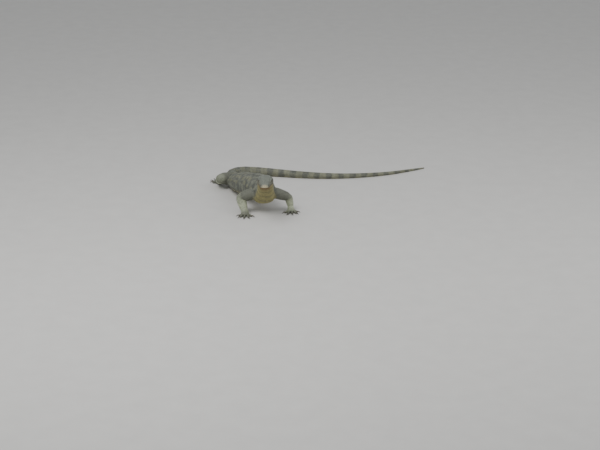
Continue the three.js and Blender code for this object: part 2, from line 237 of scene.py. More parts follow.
def body_coordinates(points):
    """Each point's distance down the body, angle from side to back, and how far out of the section it is."""
    near = np.array([body_tree.find(p)[1] for p in points])
    centre, side, up, sizes, square = (part[near] for part in FINE)
    offset = points - centre
    x = np.sum(offset * side, axis=1)
    z = np.sum(offset * up, axis=1)
    high = np.where(z > 0, sizes[:, 1], sizes[:, 2])
    power = np.where(z > 0, square[:, 0], square[:, 1])
    out = (np.abs(x / sizes[:, 0]) ** power + np.abs(z / high) ** power) ** (1 / power)
    return FINE_DOWN[near], np.arctan2(z / high, x / sizes[:, 0]), out


print("the animal is", round(TOTAL, 3), "m long")

# %% [markdown]
# ## Forms
# Limbs, lids, lips and claws are all tubes or balls. A tube could be a bevelled curve, but its ends stay
# flat and its width can't follow a muscle. So each form starts as a flat grid that is rolled up like a sheet
# of clay: its columns go round the section, its rows run along the line, and its end rows are drawn together
# to close it.


# %% Rolling a form
# Sides and rings of each kind of form.
GRIDS = {
    "body": (72, 520), "limb": (40, 40), "palm": (32, 24), "toe": (20, 24), "claw": (16, 22),
    "lip": (16, 120), "lid": (40, 30), "lid rim": (12, 160), "brow": (24, 30),
    "socket": (48, 36), "nostril": (24, 20), "ear": (32, 24), "slit": (16, 240),
}
# The share of a tube over which its ends are rounded.
ROUNDED = {
    "limb": 0.3, "palm": 0.3, "toe": 0.16, "claw": 0.06,
    "lip": 0.03, "lid rim": 0.01, "brow": 0.5, "slit": 0.02,
}
# A tube's direction is taken over this many points before and behind.
AHEAD = 0.01


def roll_form(bm, kind, place):
    """Add a grid and send each vertex to place(share, c, s), share running from 0 to 1 along it."""
    sides, rings = GRIDS[kind]
    part = bmesh.new()
    bmesh.ops.create_grid(part, x_segments=sides, y_segments=rings, size=1.0)
    flat = np.array([v.co for v in part.verts])
    angle = -math.pi * flat[:, 0]
    to = place((flat[:, 1] + 1) / 2, np.cos(angle), np.sin(angle))
    for v, p in zip(part.verts, to):
        v.co = p
    bmesh.ops.remove_doubles(part, verts=part.verts, dist=1e-6)
    rolled = bpy.data.meshes.new("form")
    part.to_mesh(rolled)
    part.free()
    bm.from_mesh(rolled)
    bpy.data.meshes.remove(rolled)


def tube_place(kind, points, size, sideways=None):
    """A place function for a form along a line; size(share) gives half width and half height."""
    points = np.asarray(points, dtype=float)

    def place(share, c, s):
        last = len(points) - 1
        centre = spline(points, share * last)
        along = unit(
            spline(points, np.minimum(share * last + AHEAD, last))
            - spline(points, np.maximum(share * last - AHEAD, 0))
        )
        if sideways is None:
            side = np.cross(along, [0, 0, 1])
        else:
            side = np.tile(np.asarray(sideways, dtype=float), (len(share), 1))
        side = unit(side - along * np.sum(side * along, axis=1, keepdims=True))
        up = np.cross(side, along)
        near = np.clip(np.minimum(share, 1 - share) / ROUNDED[kind], 0, 1)
        shrink = np.sqrt(1 - (1 - near) ** 2)
        wide, high = size(share)
        return centre + side * (c * wide * shrink)[:, None] + up * (s * high * shrink)[:, None]

    return place


def ball_place(centre, radii, axes=np.eye(3)):
    """A place function for a ball stretched along three axes; its poles lie on the third."""

    def place(share, c, s):
        turn = math.pi * share
        local = np.stack([np.sin(turn) * c, np.sin(turn) * s, -np.cos(turn)], axis=1) * np.asarray(radii)
        return np.asarray(centre) + local @ np.asarray(axes)

    return place


# %% From millimetres to the frame, and from a bmesh to an object
def mm_point(x, y, z):
    return np.array([x * MM, y * MM, z * MM]) + SHIFT


def finish_mesh(bm, name):
    """Turn a bmesh into an object of its own."""
    mesh = bpy.data.meshes.new(name)
    bm.to_mesh(mesh)
    bm.free()
    obj = bpy.data.objects.new(name, mesh)
    bpy.context.scene.collection.objects.link(obj)
    return obj


def apply_modifiers(obj):
    """Replace the object's mesh by what its modifiers make of it."""
    made = bpy.data.meshes.new_from_object(obj.evaluated_get(bpy.context.evaluated_depsgraph_get()))
    obj.modifiers.clear()
    old, obj.data = obj.data, made
    bpy.data.meshes.remove(old)


print("the middle of the shoulders is at", [round(float(v), 4) for v in mm_point(0, 0, 0)])

# %% [markdown]
# ## The legs
# A monitor's leg has a thick upper part, a slimmer lower part, a broad palm and five long toes. It could be
# one bent tube, but then elbow and knee would pinch. So each part is a tapered tube of its own between two
# joints, which are the driving sizes, and the tubes overlap at the joints.

# %% Joints and sizes of the legs
FORE = {"root": 23, "joint": 19, "end": 15, "palm": (16, 10)}
FORE_SLIM = {"root": 23, "joint": 16.5, "end": 12.5, "palm": (14.5, 9.5)}
HIND = {"root": 28, "joint": 21.5, "end": 13, "palm": (15, 9.5)}
# Length and turn of each toe, from the inner to the outer one.
FORE_TOES = [(17, 58), (25, 27), (29, 1), (28, -25), (21, -62)]
HIND_TOES = [(18, 44), (28, 20), (37, 1), (43, -19), (25, -58)]
# Joints from the body outwards, the way the foot points, radii, toes, and the side of the inner toe.
LEGS = {
    "foreleg_right": (
        [(-36, 12, 87), (-101, 19, 64), (-86, 2, 19), (-81, -21, 9.2)],
        (-0.12, -1), FORE, FORE_TOES, -1,
    ),
    "foreleg_left": (
        [(30, 20, 84), (89, 43, 58), (97, 46, 19), (100, 23, 9.2)],
        (0.14, -1), FORE_SLIM, FORE_TOES, 1,
    ),
    "hindleg_right": (
        [(-143, 343, 35), (-193, 300, 49), (-200, 362, 18), (-206, 386, 9.2)],
        (-0.42, 0.9), HIND, HIND_TOES, 1,
    ),
    "hindleg_left": (
        [(-108, 352, 34), (-56, 325, 42), (-50, 384, 18), (-31, 374, 9.2)],
        (0.9, -0.42), HIND, HIND_TOES, 1,
    ),
}
LEG_JOINTS = [leg[0] for leg in LEGS.values()]
print("legs:", list(LEGS))

# %% Limbs and palms
LIMB = {"past joint": 0.75, "swell above": 1.5, "swell below": 1, "slim below": 0.96, "muscle": 0.75}
PALM = {"ahead": 8, "arch": 2, "sunk": 3.7, "flat": 0.78}
STEEP = 0.8


def limb_place(a, b, ra, rb, swell):
    a, b = mm_point(*a), mm_point(*b)
    along = unit(b - a)
    start, end = a - along * ra * LIMB["past joint"] * MM, b + along * rb * LIMB["past joint"] * MM
    across = np.cross(along, [0, 1, 0] if abs(along[2]) > STEEP else [0, 0, 1])

    def size(share):
        radius = (mix(ra, rb, share) + swell * np.sin(math.pi * share ** LIMB["muscle"])) * MM
        return radius, radius

    return tube_place("limb", [start, mix(start, end, 0.5), end], size, across)


def palm_place(joints, heading, radii):
    wrist, knuckles = np.array(joints[2], dtype=float), np.array(joints[3], dtype=float)
    heading = unit(np.array(heading, dtype=float))
    wide, high = radii["palm"]
    half = (wrist + knuckles) / 2
    front = knuckles[:2] + heading * PALM["ahead"]
    line = [
        mm_point(*wrist),
        mm_point(half[0], half[1], high + PALM["arch"]),
        mm_point(front[0], front[1], knuckles[2] - PALM["sunk"]),
    ]

    def size(share):
        return mix(radii["end"], wide, share) * MM, mix(radii["end"], high * PALM["flat"], share) * MM

    return tube_place("palm", line, size, (heading[1], -heading[0], 0))


limb_forms = []
for joints, heading, radii, _, _ in LEGS.values():
    upper = radii["root"], radii["joint"], LIMB["swell above"]
    lower = radii["joint"] * LIMB["slim below"], radii["end"], LIMB["swell below"]
    limb_forms.append(("limb", limb_place(joints[0], joints[1], *upper)))
    limb_forms.append(("limb", limb_place(joints[1], joints[2], *lower)))
    limb_forms.append(("palm", palm_place(joints, heading, radii)))
print(len(limb_forms), "limb forms")

# %% Toes
# A toe leaves the palm above the floor, arches over its knuckle and presses its end onto the floor.
TOE = {
    "radius": 4.6, "inside": 7, "root lift": 3, "knuckle": 0.35, "knuckle lift": 2.4,
    "ball": 0.72, "ball press": 1.15, "end wide": 0.78, "end high": 0.74, "knobbly": 0.1,
}
TOE_SPREAD = 0.36
MIDDLE_TOE = 2
OUTER_TURN = 40
OUTER_START = -2
INNER_START = 3


def digit_lines():
    """For each toe its root, heading and length."""
    for joints, heading, radii, toes, inner in LEGS.values():
        heading = unit(np.array(heading, dtype=float))
        sideways = np.array([heading[1], -heading[0], 0])
        knuckles = np.array(joints[3], dtype=float)
        for i, (long, turn) in enumerate(toes):
            a = math.radians(turn) * inner
            ca, sa = math.cos(a), math.sin(a)
            towards = np.array([heading[0] * ca - heading[1] * sa, heading[0] * sa + heading[1] * ca, 0])
            root = knuckles - sideways * (MIDDLE_TOE - i) * radii["palm"][0] * TOE_SPREAD * inner
            start = OUTER_START if abs(turn) > OUTER_TURN else INNER_START
            yield root + towards * start, towards, long


def along_floor(root, towards, distance, z):
    p = root + towards * distance
    return mm_point(p[0], p[1], z)


def toe_place(root, towards, long):
    low = TOE["radius"] - PRESS
    line = [
        along_floor(root, towards, -TOE["inside"], TOE["radius"] + TOE["root lift"]),
        along_floor(root, towards, long * TOE["knuckle"], TOE["radius"] + TOE["knuckle lift"]),
        along_floor(root, towards, long * TOE["ball"], low - TOE["ball press"]),
        along_floor(root, towards, long, low * TOE["end wide"]),
    ]

    def size(share):
        knuckle = (1 + TOE["knobbly"] * np.cos(share * 4 * math.pi)) * TOE["radius"] * MM
        return mix(1, TOE["end wide"], share) * knuckle, mix(1, TOE["end high"], share) * knuckle

    return tube_place("toe", line, size)


toe_forms = [("toe", toe_place(*line)) for line in digit_lines()]
print(len(toe_forms), "toes")

# %% [markdown]
# ## The head's features
# The lips run round the snout over and under the line of the mouth. Each eye looks out through an almond
# opening in a lid that is a shell round the eyeball, under a ridge of brow. They could be sculpted on the
# finished skin, but as forms added to the flesh they keep their places when a size changes.

# %% Sizes of the features
# Millimetres behind the snout tip where the mouth ends, where its line turns across, and where it crosses.
MOUTH_BACK = 80
SNOUT_TURN = 9
SNOUT_FRONT = 1.5
LIP = {"radius": 1.9, "sunk": 1.0, "up": 2.2}
EYE_RADIUS = 6.8
LID = {"thick": 1.5, "open": (6.0, 4.3), "rim": 0.95, "rim out": 0.5, "rim sunk": 0.1}
BROW = {"from": 43, "to": 84, "radius": 4.2, "sunk": 1.6, "angle": 0.93}
GAZE_AHEAD = -0.32
GAZE_UP = 0.16
# Nostril and ear: their places, then half sizes of the cut, its painted shade inside and the space without
# scales.
NOSTRIL = {"back": 17, "up": 8, "cut": (2.6, 2.7, 1.8), "dark": (2.7, 2.8, 1.9), "free": (3.4, 3.5, 2.6)}
EAR = {"back": 98, "up": 3, "cut": (2.6, 3.4, 5.4), "dark": (2.6, 3.3, 5.3), "free": (3.0, 3.9, 5.9)}


# %% Places on the head
def head_station(back):
    return np.interp(SNOUT_TIP_Y + np.atleast_1d(back), [row[1] for row in TRUNK], range(len(TRUNK)))


def head_surface(back, side, up, sunk=0.0):
    """Points on the side of the head, at millimetres behind the snout tip and above the mouth."""
    at = head_station(back)
    _, sideways, _, sizes, square = body_at(at)
    high = sizes[:, 1] if up > 0 else sizes[:, 2]
    power = 2 / (square[:, 0] if up > 0 else square[:, 1])
    s = np.sign(up) * (abs(up) * MM / high) ** (1 / power)
    rim = section_points(at, side * np.sqrt(1 - s * s), s)[1]
    return rim - sideways * side * sunk * MM


def hole_place(hole, side):
    return head_surface(hole["back"], side, hole["up"])[0]


def round_the_snout(up, sunk):
    """A route from one corner of the mouth round the snout to the other."""
    backs = np.linspace(MOUTH_BACK, SNOUT_TURN, 12)
    half = head_surface(backs, 1, up, sunk)
    other = head_surface(backs, -1, up, sunk)[::-1]
    front = mm_point(0, SNOUT_TIP_Y + sunk + SNOUT_FRONT, TRUNK[0][2] + up)
    return np.vstack([half, front, other])


def eye_axes(side):
    """Where an eye looks, the direction to the snout across that, and upwards."""
    gaze = unit(np.array([side, GAZE_AHEAD, GAZE_UP]))
    ahead = unit(np.array([0, -1, 0]) + gaze * gaze[1])
    return gaze, ahead, np.cross(ahead, gaze) * side


def even_size(wide, high):
    return lambda share: (np.full(len(share), wide * MM), np.full(len(share), high * MM))


EYES = {side: np.array(box_centre("eye_right" if side < 0 else "eye_left")) for side in (-1, 1)}
print("eyes at", {side: [round(float(v), 4) for v in p] for side, p in EYES.items()})

# %% [markdown]
# ## One skin
# Real skin runs over the joints without a seam. The forms could be joined by Booleans, but those leave a
# hard edge at each root. So a fine voxel remesh fuses them, and then the places where a limb leaves the body
# or bends are smoothed more than the rest, as flesh under skin is.


# %% Forms of the body, lips, lids and brows
EVEN_ROWS = 0.15
HEAD_ROWS = 2.2


def body_row(share):
    """Station numbers for the rows of the body's grid, closer together on the head."""
    return LAST * (EVEN_ROWS * share + (1 - EVEN_ROWS) * share**HEAD_ROWS)


def add_lid_and_brow(bm, side, eye):
    gaze, ahead, above = eye_axes(side)
    lid_radius = EYE_RADIUS + LID["thick"]
    roll_form(bm, "lid", ball_place(eye, [lid_radius * MM] * 3))
    turn = np.linspace(0, 2 * math.pi, 40)
    wide, high = (half + LID["rim out"] for half in LID["open"])
    rim = np.stack([np.cos(turn) * wide, np.sin(turn) * high], axis=1)
    lift = np.sqrt(lid_radius**2 - np.sum(rim**2, axis=1)) - LID["rim sunk"]
    lid_line = eye + (rim[:, :1] * ahead + rim[:, 1:] * above + lift[:, None] * gaze) * MM
    roll_form(bm, "lid rim", tube_place("lid rim", lid_line, even_size(LID["rim"], LID["rim"]), gaze))
    brow_at = head_station(np.linspace(BROW["from"], BROW["to"], 5))
    turn_to = np.full(5, side * math.cos(BROW["angle"])), np.full(5, math.sin(BROW["angle"]))
    brow_line = section_points(brow_at, *turn_to, -BROW["sunk"] * MM)[1]
    roll_form(bm, "brow", tube_place("brow", brow_line, even_size(BROW["radius"], BROW["radius"])))


flesh = bmesh.new()
roll_form(flesh, "body", lambda share, c, s: body_surface(body_row(share), c, s))
for kind, place in limb_forms + toe_forms:
    roll_form(flesh, kind, place)
for up in (LIP["up"], -LIP["up"]):
    lip_line = round_the_snout(up, LIP["sunk"])
    roll_form(flesh, "lip", tube_place("lip", lip_line, even_size(LIP["radius"], LIP["radius"])))
for side, eye in EYES.items():
    add_lid_and_brow(flesh, side, eye)
skin = finish_mesh(flesh, "skin")
print("the forms have", len(skin.data.polygons), "faces")

# %% Fuse the flesh
VOXEL = 1.0 * MM
fuse = skin.modifiers.new("fuse", "REMESH")
fuse.mode = "VOXEL"
fuse.voxel_size = VOXEL
apply_modifiers(skin)
print("skin has", len(skin.data.polygons), "faces after fusing")


# %% Find the joints to soften
def places_of(mesh):
    flat = np.empty(len(mesh.vertices) * 3)
    mesh.vertices.foreach_get("co", flat)
    return flat.reshape(-1, 3)


def set_places(mesh, places):
    mesh.vertices.foreach_set("co", places.ravel())
    mesh.update()


def normals_of(mesh):
    flat = np.empty(len(mesh.vertices) * 3)
    mesh.vertex_normals.foreach_get("vector", flat)
    return flat.reshape(-1, 3)


def hump(value, low, high, soft):
    """1 between low and high, falling to 0 over the soft distance on either side."""
    rise = np.clip((value - low) / soft + 0.5, 0, 1)
    fall = np.clip((high - value) / soft + 0.5, 0, 1)
    return (rise * rise * (3 - 2 * rise)) * (fall * fall * (3 - 2 * fall))


def near_to(points, centre, reach, soft):
    """1 within reach of a place, falling to 0 over the soft distance; both in millimetres."""
    return hump(np.linalg.norm(points - centre, axis=1), -1, reach * MM, soft * MM)


# How far the softening reaches round the root, elbow or knee, wrist and palm of a leg, and under the jaw.
BEND_REACH = (40, 30, 19, 15)
BEND_FADE = 14
ROOT_SHARE = 0.3
THROAT = {"at": mm_point(0, -62, 128), "reach": 26, "fade": 16, "softened": 0.8}
where = places_of(skin.data)
weight = np.zeros(len(where))
for joints in LEG_JOINTS:
    a, b, c, d = (mm_point(*j) for j in joints)
    for centre, reach in zip((mix(a, b, ROOT_SHARE), b, c, d), BEND_REACH):
        weight = np.maximum(weight, near_to(where, centre, reach, BEND_FADE))
under_jaw = near_to(where, THROAT["at"], THROAT["reach"], THROAT["fade"])
weight = np.maximum(weight, THROAT["softened"] * under_jaw)
print("places to soften:", int((weight > 0).sum()))

# %% Soften the joints
group = skin.vertex_groups.new(name="bends")
for level in np.unique(np.round(weight, 1)):
    if level > 0:
        group.add(np.nonzero(np.round(weight, 1) == level)[0].tolist(), float(level), "REPLACE")
soft = skin.modifiers.new("soft", "SMOOTH")
soft.factor = 0.5
soft.iterations = 3
blend = skin.modifiers.new("blend", "SMOOTH")
blend.factor = 0.6
blend.iterations = 50
blend.vertex_group = "bends"
apply_modifiers(skin)
print("softened skin has", len(skin.data.vertices), "points")

# %% [markdown]
# ## Folds
# A monitor's skin is a loose coat. It creases across the throat and behind the shoulders, hangs in a long
# fold along each flank and puckers where the limbs bend. A bump in the material would vanish in the outline,
# so the folds are pressed into the mesh itself, placed by distance down the body and round it.


# %% Unevenness and creases
def ripple(points, wavelength, seed):
    """Smooth unevenness between about -1 and 1."""
    draw = np.random.default_rng(seed)
    total = np.zeros(len(points))
    for _ in range(7):
        direction = unit(draw.normal(size=3))
        turns = 2 * math.pi / wavelength
        total += np.sin(points @ direction * turns * draw.uniform(0.7, 1.4) + draw.uniform(0, 6))
    return total / 3.5


def crease(down, every, sharp, wobble):
    return (0.5 + 0.5 * np.sin(2 * math.pi * down / every + wobble)) ** sharp


def ridge(offset, wide):
    return np.exp(-((offset / wide) ** 2))


OFF_BODY = 1.14
OFF_BODY_FADE = 0.12
where = places_of(skin.data)
down, angle, out = body_coordinates(where)
down_mm = down / MM
degrees = np.degrees(np.arcsin(np.clip(np.sin(angle), -1, 1)))
on_body = np.clip((OFF_BODY - out) / OFF_BODY_FADE, 0, 1)
uneven = ripple(where, wavelength=0.024, seed=3)
print("points on the trunk and tail:", int((on_body > 0.5).sum()))

# %% Folds of the throat, flanks and back
# Depth in mm, then where it starts, ends and how softly, in mm down the body.
FOLDS = {
    "throat": (0.8, 112, 205, 26),
    "collar": (2.0, 196, 202, 8),
    "flank": (0.85, 250, 560, 60),
    "side fold": (1.9, 262, 520, 60),
    "swell above it": (-1.3, 262, 520, 60),
    "back": (0.5, 150, 640, 40),
}
# Distance between creases in mm, their sharpness, and how much they waver.
CREASES = {"throat": (7.5, 4, 2.2), "flank": (11, 4, 1.5), "back": (14, 6, 3), "leg": (7.3, 3, 3.5)}
# Where round the body they lie, in degrees above the side: from, to and how softly.
AROUND = {"collar": (-95, -10, 30), "flank": (-52, 14, 34), "back": (0, 90, 40)}
THROAT_TOP = 30
THROAT_FADE = 70
SIDE_FOLD = {"at": -34, "wide": 6, "wavy": 5}
SIDE_SWELL = {"at": -20, "wide": 13}
LUMPY = 0.45
LUMPY_REACH = (120, 900, 60)


def fold(name, around):
    """Depth of one kind of fold at every point, with its creases if it has any."""
    deep, low, high, soft = FOLDS[name]
    depth = deep * hump(down_mm, low, high, soft) * around
    if name in CREASES:
        every, sharp, waver = CREASES[name]
        depth = depth * crease(down_mm, every, sharp, waver * uneven)
    return depth


side_line = degrees - SIDE_FOLD["at"] + SIDE_FOLD["wavy"] * uneven
press = fold("throat", np.clip((THROAT_TOP - degrees) / THROAT_FADE, 0, 1)) * on_body
press += fold("collar", hump(degrees, *AROUND["collar"])) * on_body
press += fold("flank", hump(degrees, *AROUND["flank"])) * on_body
press += fold("side fold", ridge(side_line, SIDE_FOLD["wide"])) * on_body
press += fold("swell above it", ridge(degrees - SIDE_SWELL["at"], SIDE_SWELL["wide"])) * on_body
press += fold("back", hump(degrees, *AROUND["back"]))
press += LUMPY * ripple(where, wavelength=0.034, seed=5) * hump(down_mm, *LUMPY_REACH)
print("deepest fold of the trunk:", round(float(press.max()), 2), "mm")

# %% Folds of the legs, and the pressing
LEG_FOLD = 0.32
LEG_FOLD_REACH = (34, 26, 17)
LEG_FOLD_FADE = 12
ARMPIT_SHARE = 0.35
LEG_LUMPY = 0.3
FEET_TOP = 0.02
every, sharp, waver = CREASES["leg"]
for joints in LEG_JOINTS:
    a, b, c = (mm_point(*j) for j in joints[:3])
    upper, lower = unit(b - a), unit(c - b)
    for centre, axis, reach in zip((mix(a, b, ARMPIT_SHARE), b, c), (upper, upper, lower), LEG_FOLD_REACH):
        mask = near_to(where, centre, reach, LEG_FOLD_FADE)
        press += LEG_FOLD * mask * crease((where @ axis) / MM, every, sharp, waver * uneven)
press += LEG_LUMPY * (1 - on_body) * ripple(where, wavelength=0.02, seed=8) * (where[:, 2] > FEET_TOP)
where -= normals_of(skin.data) * (press * MM)[:, None]
where[:, 2] = np.maximum(where[:, 2], 0.0)
set_places(skin.data, where)
print("deepest fold", round(float(press.max()), 2), "mm")

# %% [markdown]
# ## Openings
# Nostrils, ears, the gap between the lids and the line of the mouth are hollows. Dark paint would look flat
# from the side, so a cutter of balls and one thin ring is taken out of the skin. The cutter is remeshed
# first, because a Boolean needs closed bodies that don't cross, and the skin is thinned afterwards, where it
# is calm.

# %% Cut the openings
SLIT = {"up": 0.01, "sunk": 0.2, "deep": 2.3, "high": 0.32}
SOCKET_GAP = 0.25
CUTTER_VOXEL = 0.35 * MM
OPENING_OUT = 8.3
OPENING_DEEP = 5.5
cutter = bmesh.new()
for side, eye in EYES.items():
    gaze, ahead, above = eye_axes(side)
    roll_form(cutter, "socket", ball_place(eye, [(EYE_RADIUS + SOCKET_GAP) * MM] * 3))
    opening = np.array([*LID["open"], OPENING_DEEP]) * MM
    roll_form(cutter, "socket", ball_place(eye + gaze * OPENING_OUT * MM, opening, [ahead, above, gaze]))
    for kind, hole in (("nostril", NOSTRIL), ("ear", EAR)):
        roll_form(cutter, kind, ball_place(hole_place(hole, side), np.array(hole["cut"]) * MM))
slit = round_the_snout(SLIT["up"], SLIT["sunk"])
roll_form(cutter, "slit", tube_place("slit", slit, even_size(SLIT["deep"], SLIT["high"])))
cutter = finish_mesh(cutter, "cutter")
whole = cutter.modifiers.new("fuse", "REMESH")
whole.mode = "VOXEL"
whole.voxel_size = CUTTER_VOXEL
apply_modifiers(cutter)
before = len(skin.data.polygons)
cut = skin.modifiers.new("openings", "BOOLEAN")
cut.operation = "DIFFERENCE"
cut.solver = "MANIFOLD"
cut.object = cutter
apply_modifiers(skin)
bpy.data.objects.remove(cutter)
print("the cut took the skin from", before, "to", len(skin.data.polygons), "faces")


# %% Thin the calm parts of the skin
def triangles_of(mesh):
    return sum(len(p.vertices) - 2 for p in mesh.polygons)


SKIN_TRIANGLES = 188000
thin = skin.modifiers.new("thin", "DECIMATE")
thin.ratio = min(1.0, SKIN_TRIANGLES / triangles_of(skin.data))
apply_modifiers(skin)
skin.data.shade_smooth()
FLESH = [n for n in frame["nodes"] if not n.startswith("eye_")]
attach(skin, "root")
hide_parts(*FLESH)
print("skin has", triangles_of(skin.data), "triangles")

# %% [markdown]
# ## Marks for the finishes
# Scales and markings follow the body, not the room. They could be painted on an unwrapped picture, but a
# pattern drawn from numbers stays sharp from near by. So each point of the skin is told how far down the
# body it lies, how far up from the belly's midline, whether it is on a leg and how far down that, and
# whether it lies inside an opening, where painted shade darkens it. The finishes read these numbers as
# attributes.

# %% How far down a leg a point lies
FAR = 9.0
FOOT_LENGTH = 45
leg_parts = []
for joints, heading, _, _, _ in LEGS.values():
    ahead_of = unit(np.array([heading[0], heading[1], 0.0])) * FOOT_LENGTH
    line = [np.array(j, dtype=float) for j in joints] + [np.array(joints[3]) + ahead_of]
    start = 0.0
    for a, b in zip(line, line[1:]):
        leg_parts.append((mm_point(*a), mm_point(*b), start))
        start += float(np.linalg.norm(b - a)) * MM


def down_the_leg(points):
    """How far down the nearest leg each point lies, in metres."""
    best = np.full(len(points), FAR)
    result = np.zeros(len(points))
    for a, b, start in leg_parts:
        long = np.linalg.norm(b - a)
        share = np.clip((points - a) @ (b - a) / long**2, 0, 1)
        away = np.linalg.norm(points - a - share[:, None] * (b - a), axis=1)
        nearer = away < best
        best[nearer] = away[nearer]
        result[nearer] = start + share[nearer] * long
    return result


print("lengths of leg:", len(leg_parts))

# %% How much painted shade a point gets in an opening
# Sizes of the painted shade in the line of the mouth and round the eyes, and its strength in the ears.
SLIT_PAINTED_SHADE = {"deep": 2.6, "high": 0.62}
SOCKET_PAINTED_SHADE = 0.6
EAR_PAINTED_SHADE = 0.6
HEAD_BACK = 45
slit_line = tree_of(spline(slit, np.linspace(0, len(slit) - 1, 400)))


def in_hole(points, hole, side):
    offset = (points - hole_place(hole, side)) / (np.array(hole["dark"]) * MM)
    return np.linalg.norm(offset, axis=1) < 1


def painted_shade_in_openings(points):
    """Painted shade: 1 inside the line of the mouth, the nostrils and behind the lids, and less in the ears.
    """
    result = np.zeros(len(points))
    for number in np.nonzero(points[:, 1] < EYES[1][1] + HEAD_BACK * MM)[0]:
        point = points[number]
        near = slit_line.find(point)[0]
        level = abs(point[2] - near[2]) < SLIT_PAINTED_SHADE["high"] * MM
        if level and math.hypot(point[0] - near[0], point[1] - near[1]) < SLIT_PAINTED_SHADE["deep"] * MM:
            result[number] = 1
    for side, eye in EYES.items():
        result[np.linalg.norm(points - eye, axis=1) < (EYE_RADIUS + SOCKET_PAINTED_SHADE) * MM] = 1
        result[in_hole(points, NOSTRIL, side)] = 1
        result = np.maximum(result, EAR_PAINTED_SHADE * in_hole(points, EAR, side))
    return result


# %% Write the marks on the skin
LIMB_OUT = 1.05
LIMB_FADE = 0.1
NECK_START = 0.12


def marks_for(points):
    down, angle, out = body_coordinates(points)
    return {
        "down": down,
        "high": np.arcsin(np.clip(np.sin(angle), -1, 1)) / math.pi + 0.5,
        "limb": np.clip((out - LIMB_OUT) / LIMB_FADE, 0, 1) * (down > NECK_START),
        "leg": down_the_leg(points),
        "inside": painted_shade_in_openings(points),
    }


def write_numbers(mesh, numbers):
    for name, values in numbers.items():
        made = mesh.attributes.new(name, "FLOAT", "POINT")
        made.data.foreach_set("value", np.asarray(values, dtype=np.float32))


skin_places = places_of(skin.data)
skin_marks = marks_for(skin_places)
write_numbers(skin.data, skin_marks)
write_numbers(skin.data, {"tone": np.full(len(skin_places), 0.5)})
print("marked", len(skin_places), "points;", int((skin_marks["limb"] > 0.5).sum()), "of them on the legs")

# %% [markdown]
# ## Scales
# A monitor's scales are small beads in rings round the body, each ring set half a scale on from the last. A
# bump could suggest them, but would neither show in the outline nor catch light on its edge. So one low
# eight-sided bead is modelled, seats are laid in rings on the forms and drawn onto the skin, and Geometry
# Nodes puts a bead on every seat. Every bead takes one colour from its seat, as real scales do.

# %% Seats in rings
RING_POINTS = 25
LITTLE_TURN = 0.02
LONGEST_STEP = 0.004


def ring_seats(place, rows, wide_of, tile):
    """Seats, with directions, sizes and places on a flat layout, in rings at the given shares of a form."""
    round_turns = np.linspace(0, 2 * math.pi, RING_POINTS)
    shares, turns, step_along, step_round = [], [], [], []
    gaps = np.gradient(rows)
    for i, share in enumerate(rows):
        ring = place(np.full(RING_POINTS, share), np.cos(round_turns), np.sin(round_turns))
        lengths = np.concatenate([[0], np.cumsum(np.linalg.norm(np.diff(ring, axis=0), axis=1))])
        count = max(int(lengths[-1] / wide_of(share)), 5)
        spots = (np.arange(count) + 0.5 * (i % 2)) / count * lengths[-1]
        turns.append(np.interp(spots, lengths, round_turns))
        shares.append(np.full(count, share))
        step_along.append(np.full(count, gaps[i]))
        step_round.append(np.full(count, lengths[-1] / count))
    share, turn = np.concatenate(shares), np.concatenate(turns)
    gap, wide = np.concatenate(step_along), np.concatenate(step_round)
    spot = place(share, np.cos(turn), np.sin(turn))
    half = np.minimum(gap / 2, LONGEST_STEP)
    ahead = place(np.minimum(share + half, 1), np.cos(turn), np.sin(turn))
    behind = place(np.maximum(share - half, 0), np.cos(turn), np.sin(turn))
    beside = place(share, np.cos(turn + LITTLE_TURN), np.sin(turn + LITTLE_TURN)) - spot
    along = ahead - behind
    long = np.linalg.norm(along, axis=1) * gap / (2 * half)
    outward = unit(np.cross(unit(along), unit(beside)))
    layout = np.stack([tile[0] + share * tile[2], tile[1] + turn / (2 * math.pi) * tile[3]], axis=1)
    return spot, unit(along), outward, long, wide, layout


# %% Seats drawn onto the skin
SKIN_WITHIN = 0.0045
FACING = 0.3
OFF_FLOOR = 0.0004
NEAR_HOLES = 0.01
skin_tree = BVHTree.FromObject(skin, bpy.context.evaluated_depsgraph_get())
skin_normals = normals_of(skin.data)
# One source of chance for all scales, so that each run draws the same.
lot = np.random.default_rng(11)
holes = [(hole_place(hole, side), np.array(hole["free"]) * MM) for hole in (NOSTRIL, EAR) for side in EYES]


def by_a_hole(at):
    return any(np.linalg.norm((at - hole) / size) < 1 for hole, size in holes if at[1] < hole[1] + NEAR_HOLES)


def settle(seats, taken, spacing):
    """Draw seats onto the skin; those inside the animal, in an opening or on a taken place are dropped."""
    spot, along, outward, long, wide, layout = seats
    kept, places, normals = [], [], []
    for i, point in enumerate(spot):
        at, normal, face, _ = skin_tree.find_nearest(point, SKIN_WITHIN)
        if at is None or normal.dot(Vector(outward[i])) < FACING or at.z < OFF_FLOOR:
            continue
        if by_a_hole(np.array(at)) or (taken is not None and taken.find(at)[2] < spacing):
            continue
        kept.append(i)
        places.append(at)
        normals.append(unit(skin_normals[list(skin.data.polygons[face].vertices)].sum(axis=0)))
    if not kept:
        return None
    clear = painted_shade_in_openings(np.array(places)) == 0
    kept, places, normals = (np.array(part)[clear] for part in (kept, places, normals))
    return places, along[kept], normals, long[kept], wide[kept], layout[kept]


print("openings kept free of scales:", len(holes))

# %% One bead
BEAD_SUNK = 0.26
bead_bm = bmesh.new()
bmesh.ops.create_cone(bead_bm, cap_ends=False, segments=8, radius1=1.0, radius2=0.0, depth=1.0)
bmesh.ops.remove_doubles(bead_bm, verts=bead_bm.verts, dist=1e-4)
bmesh.ops.translate(bead_bm, vec=(0, 0, BEAD_SUNK), verts=bead_bm.verts)
bead = finish_mesh(bead_bm, "bead")
bead_places = places_of(bead.data)
print("a bead has", len(bead_places), "points and", len(bead.data.polygons), "faces")


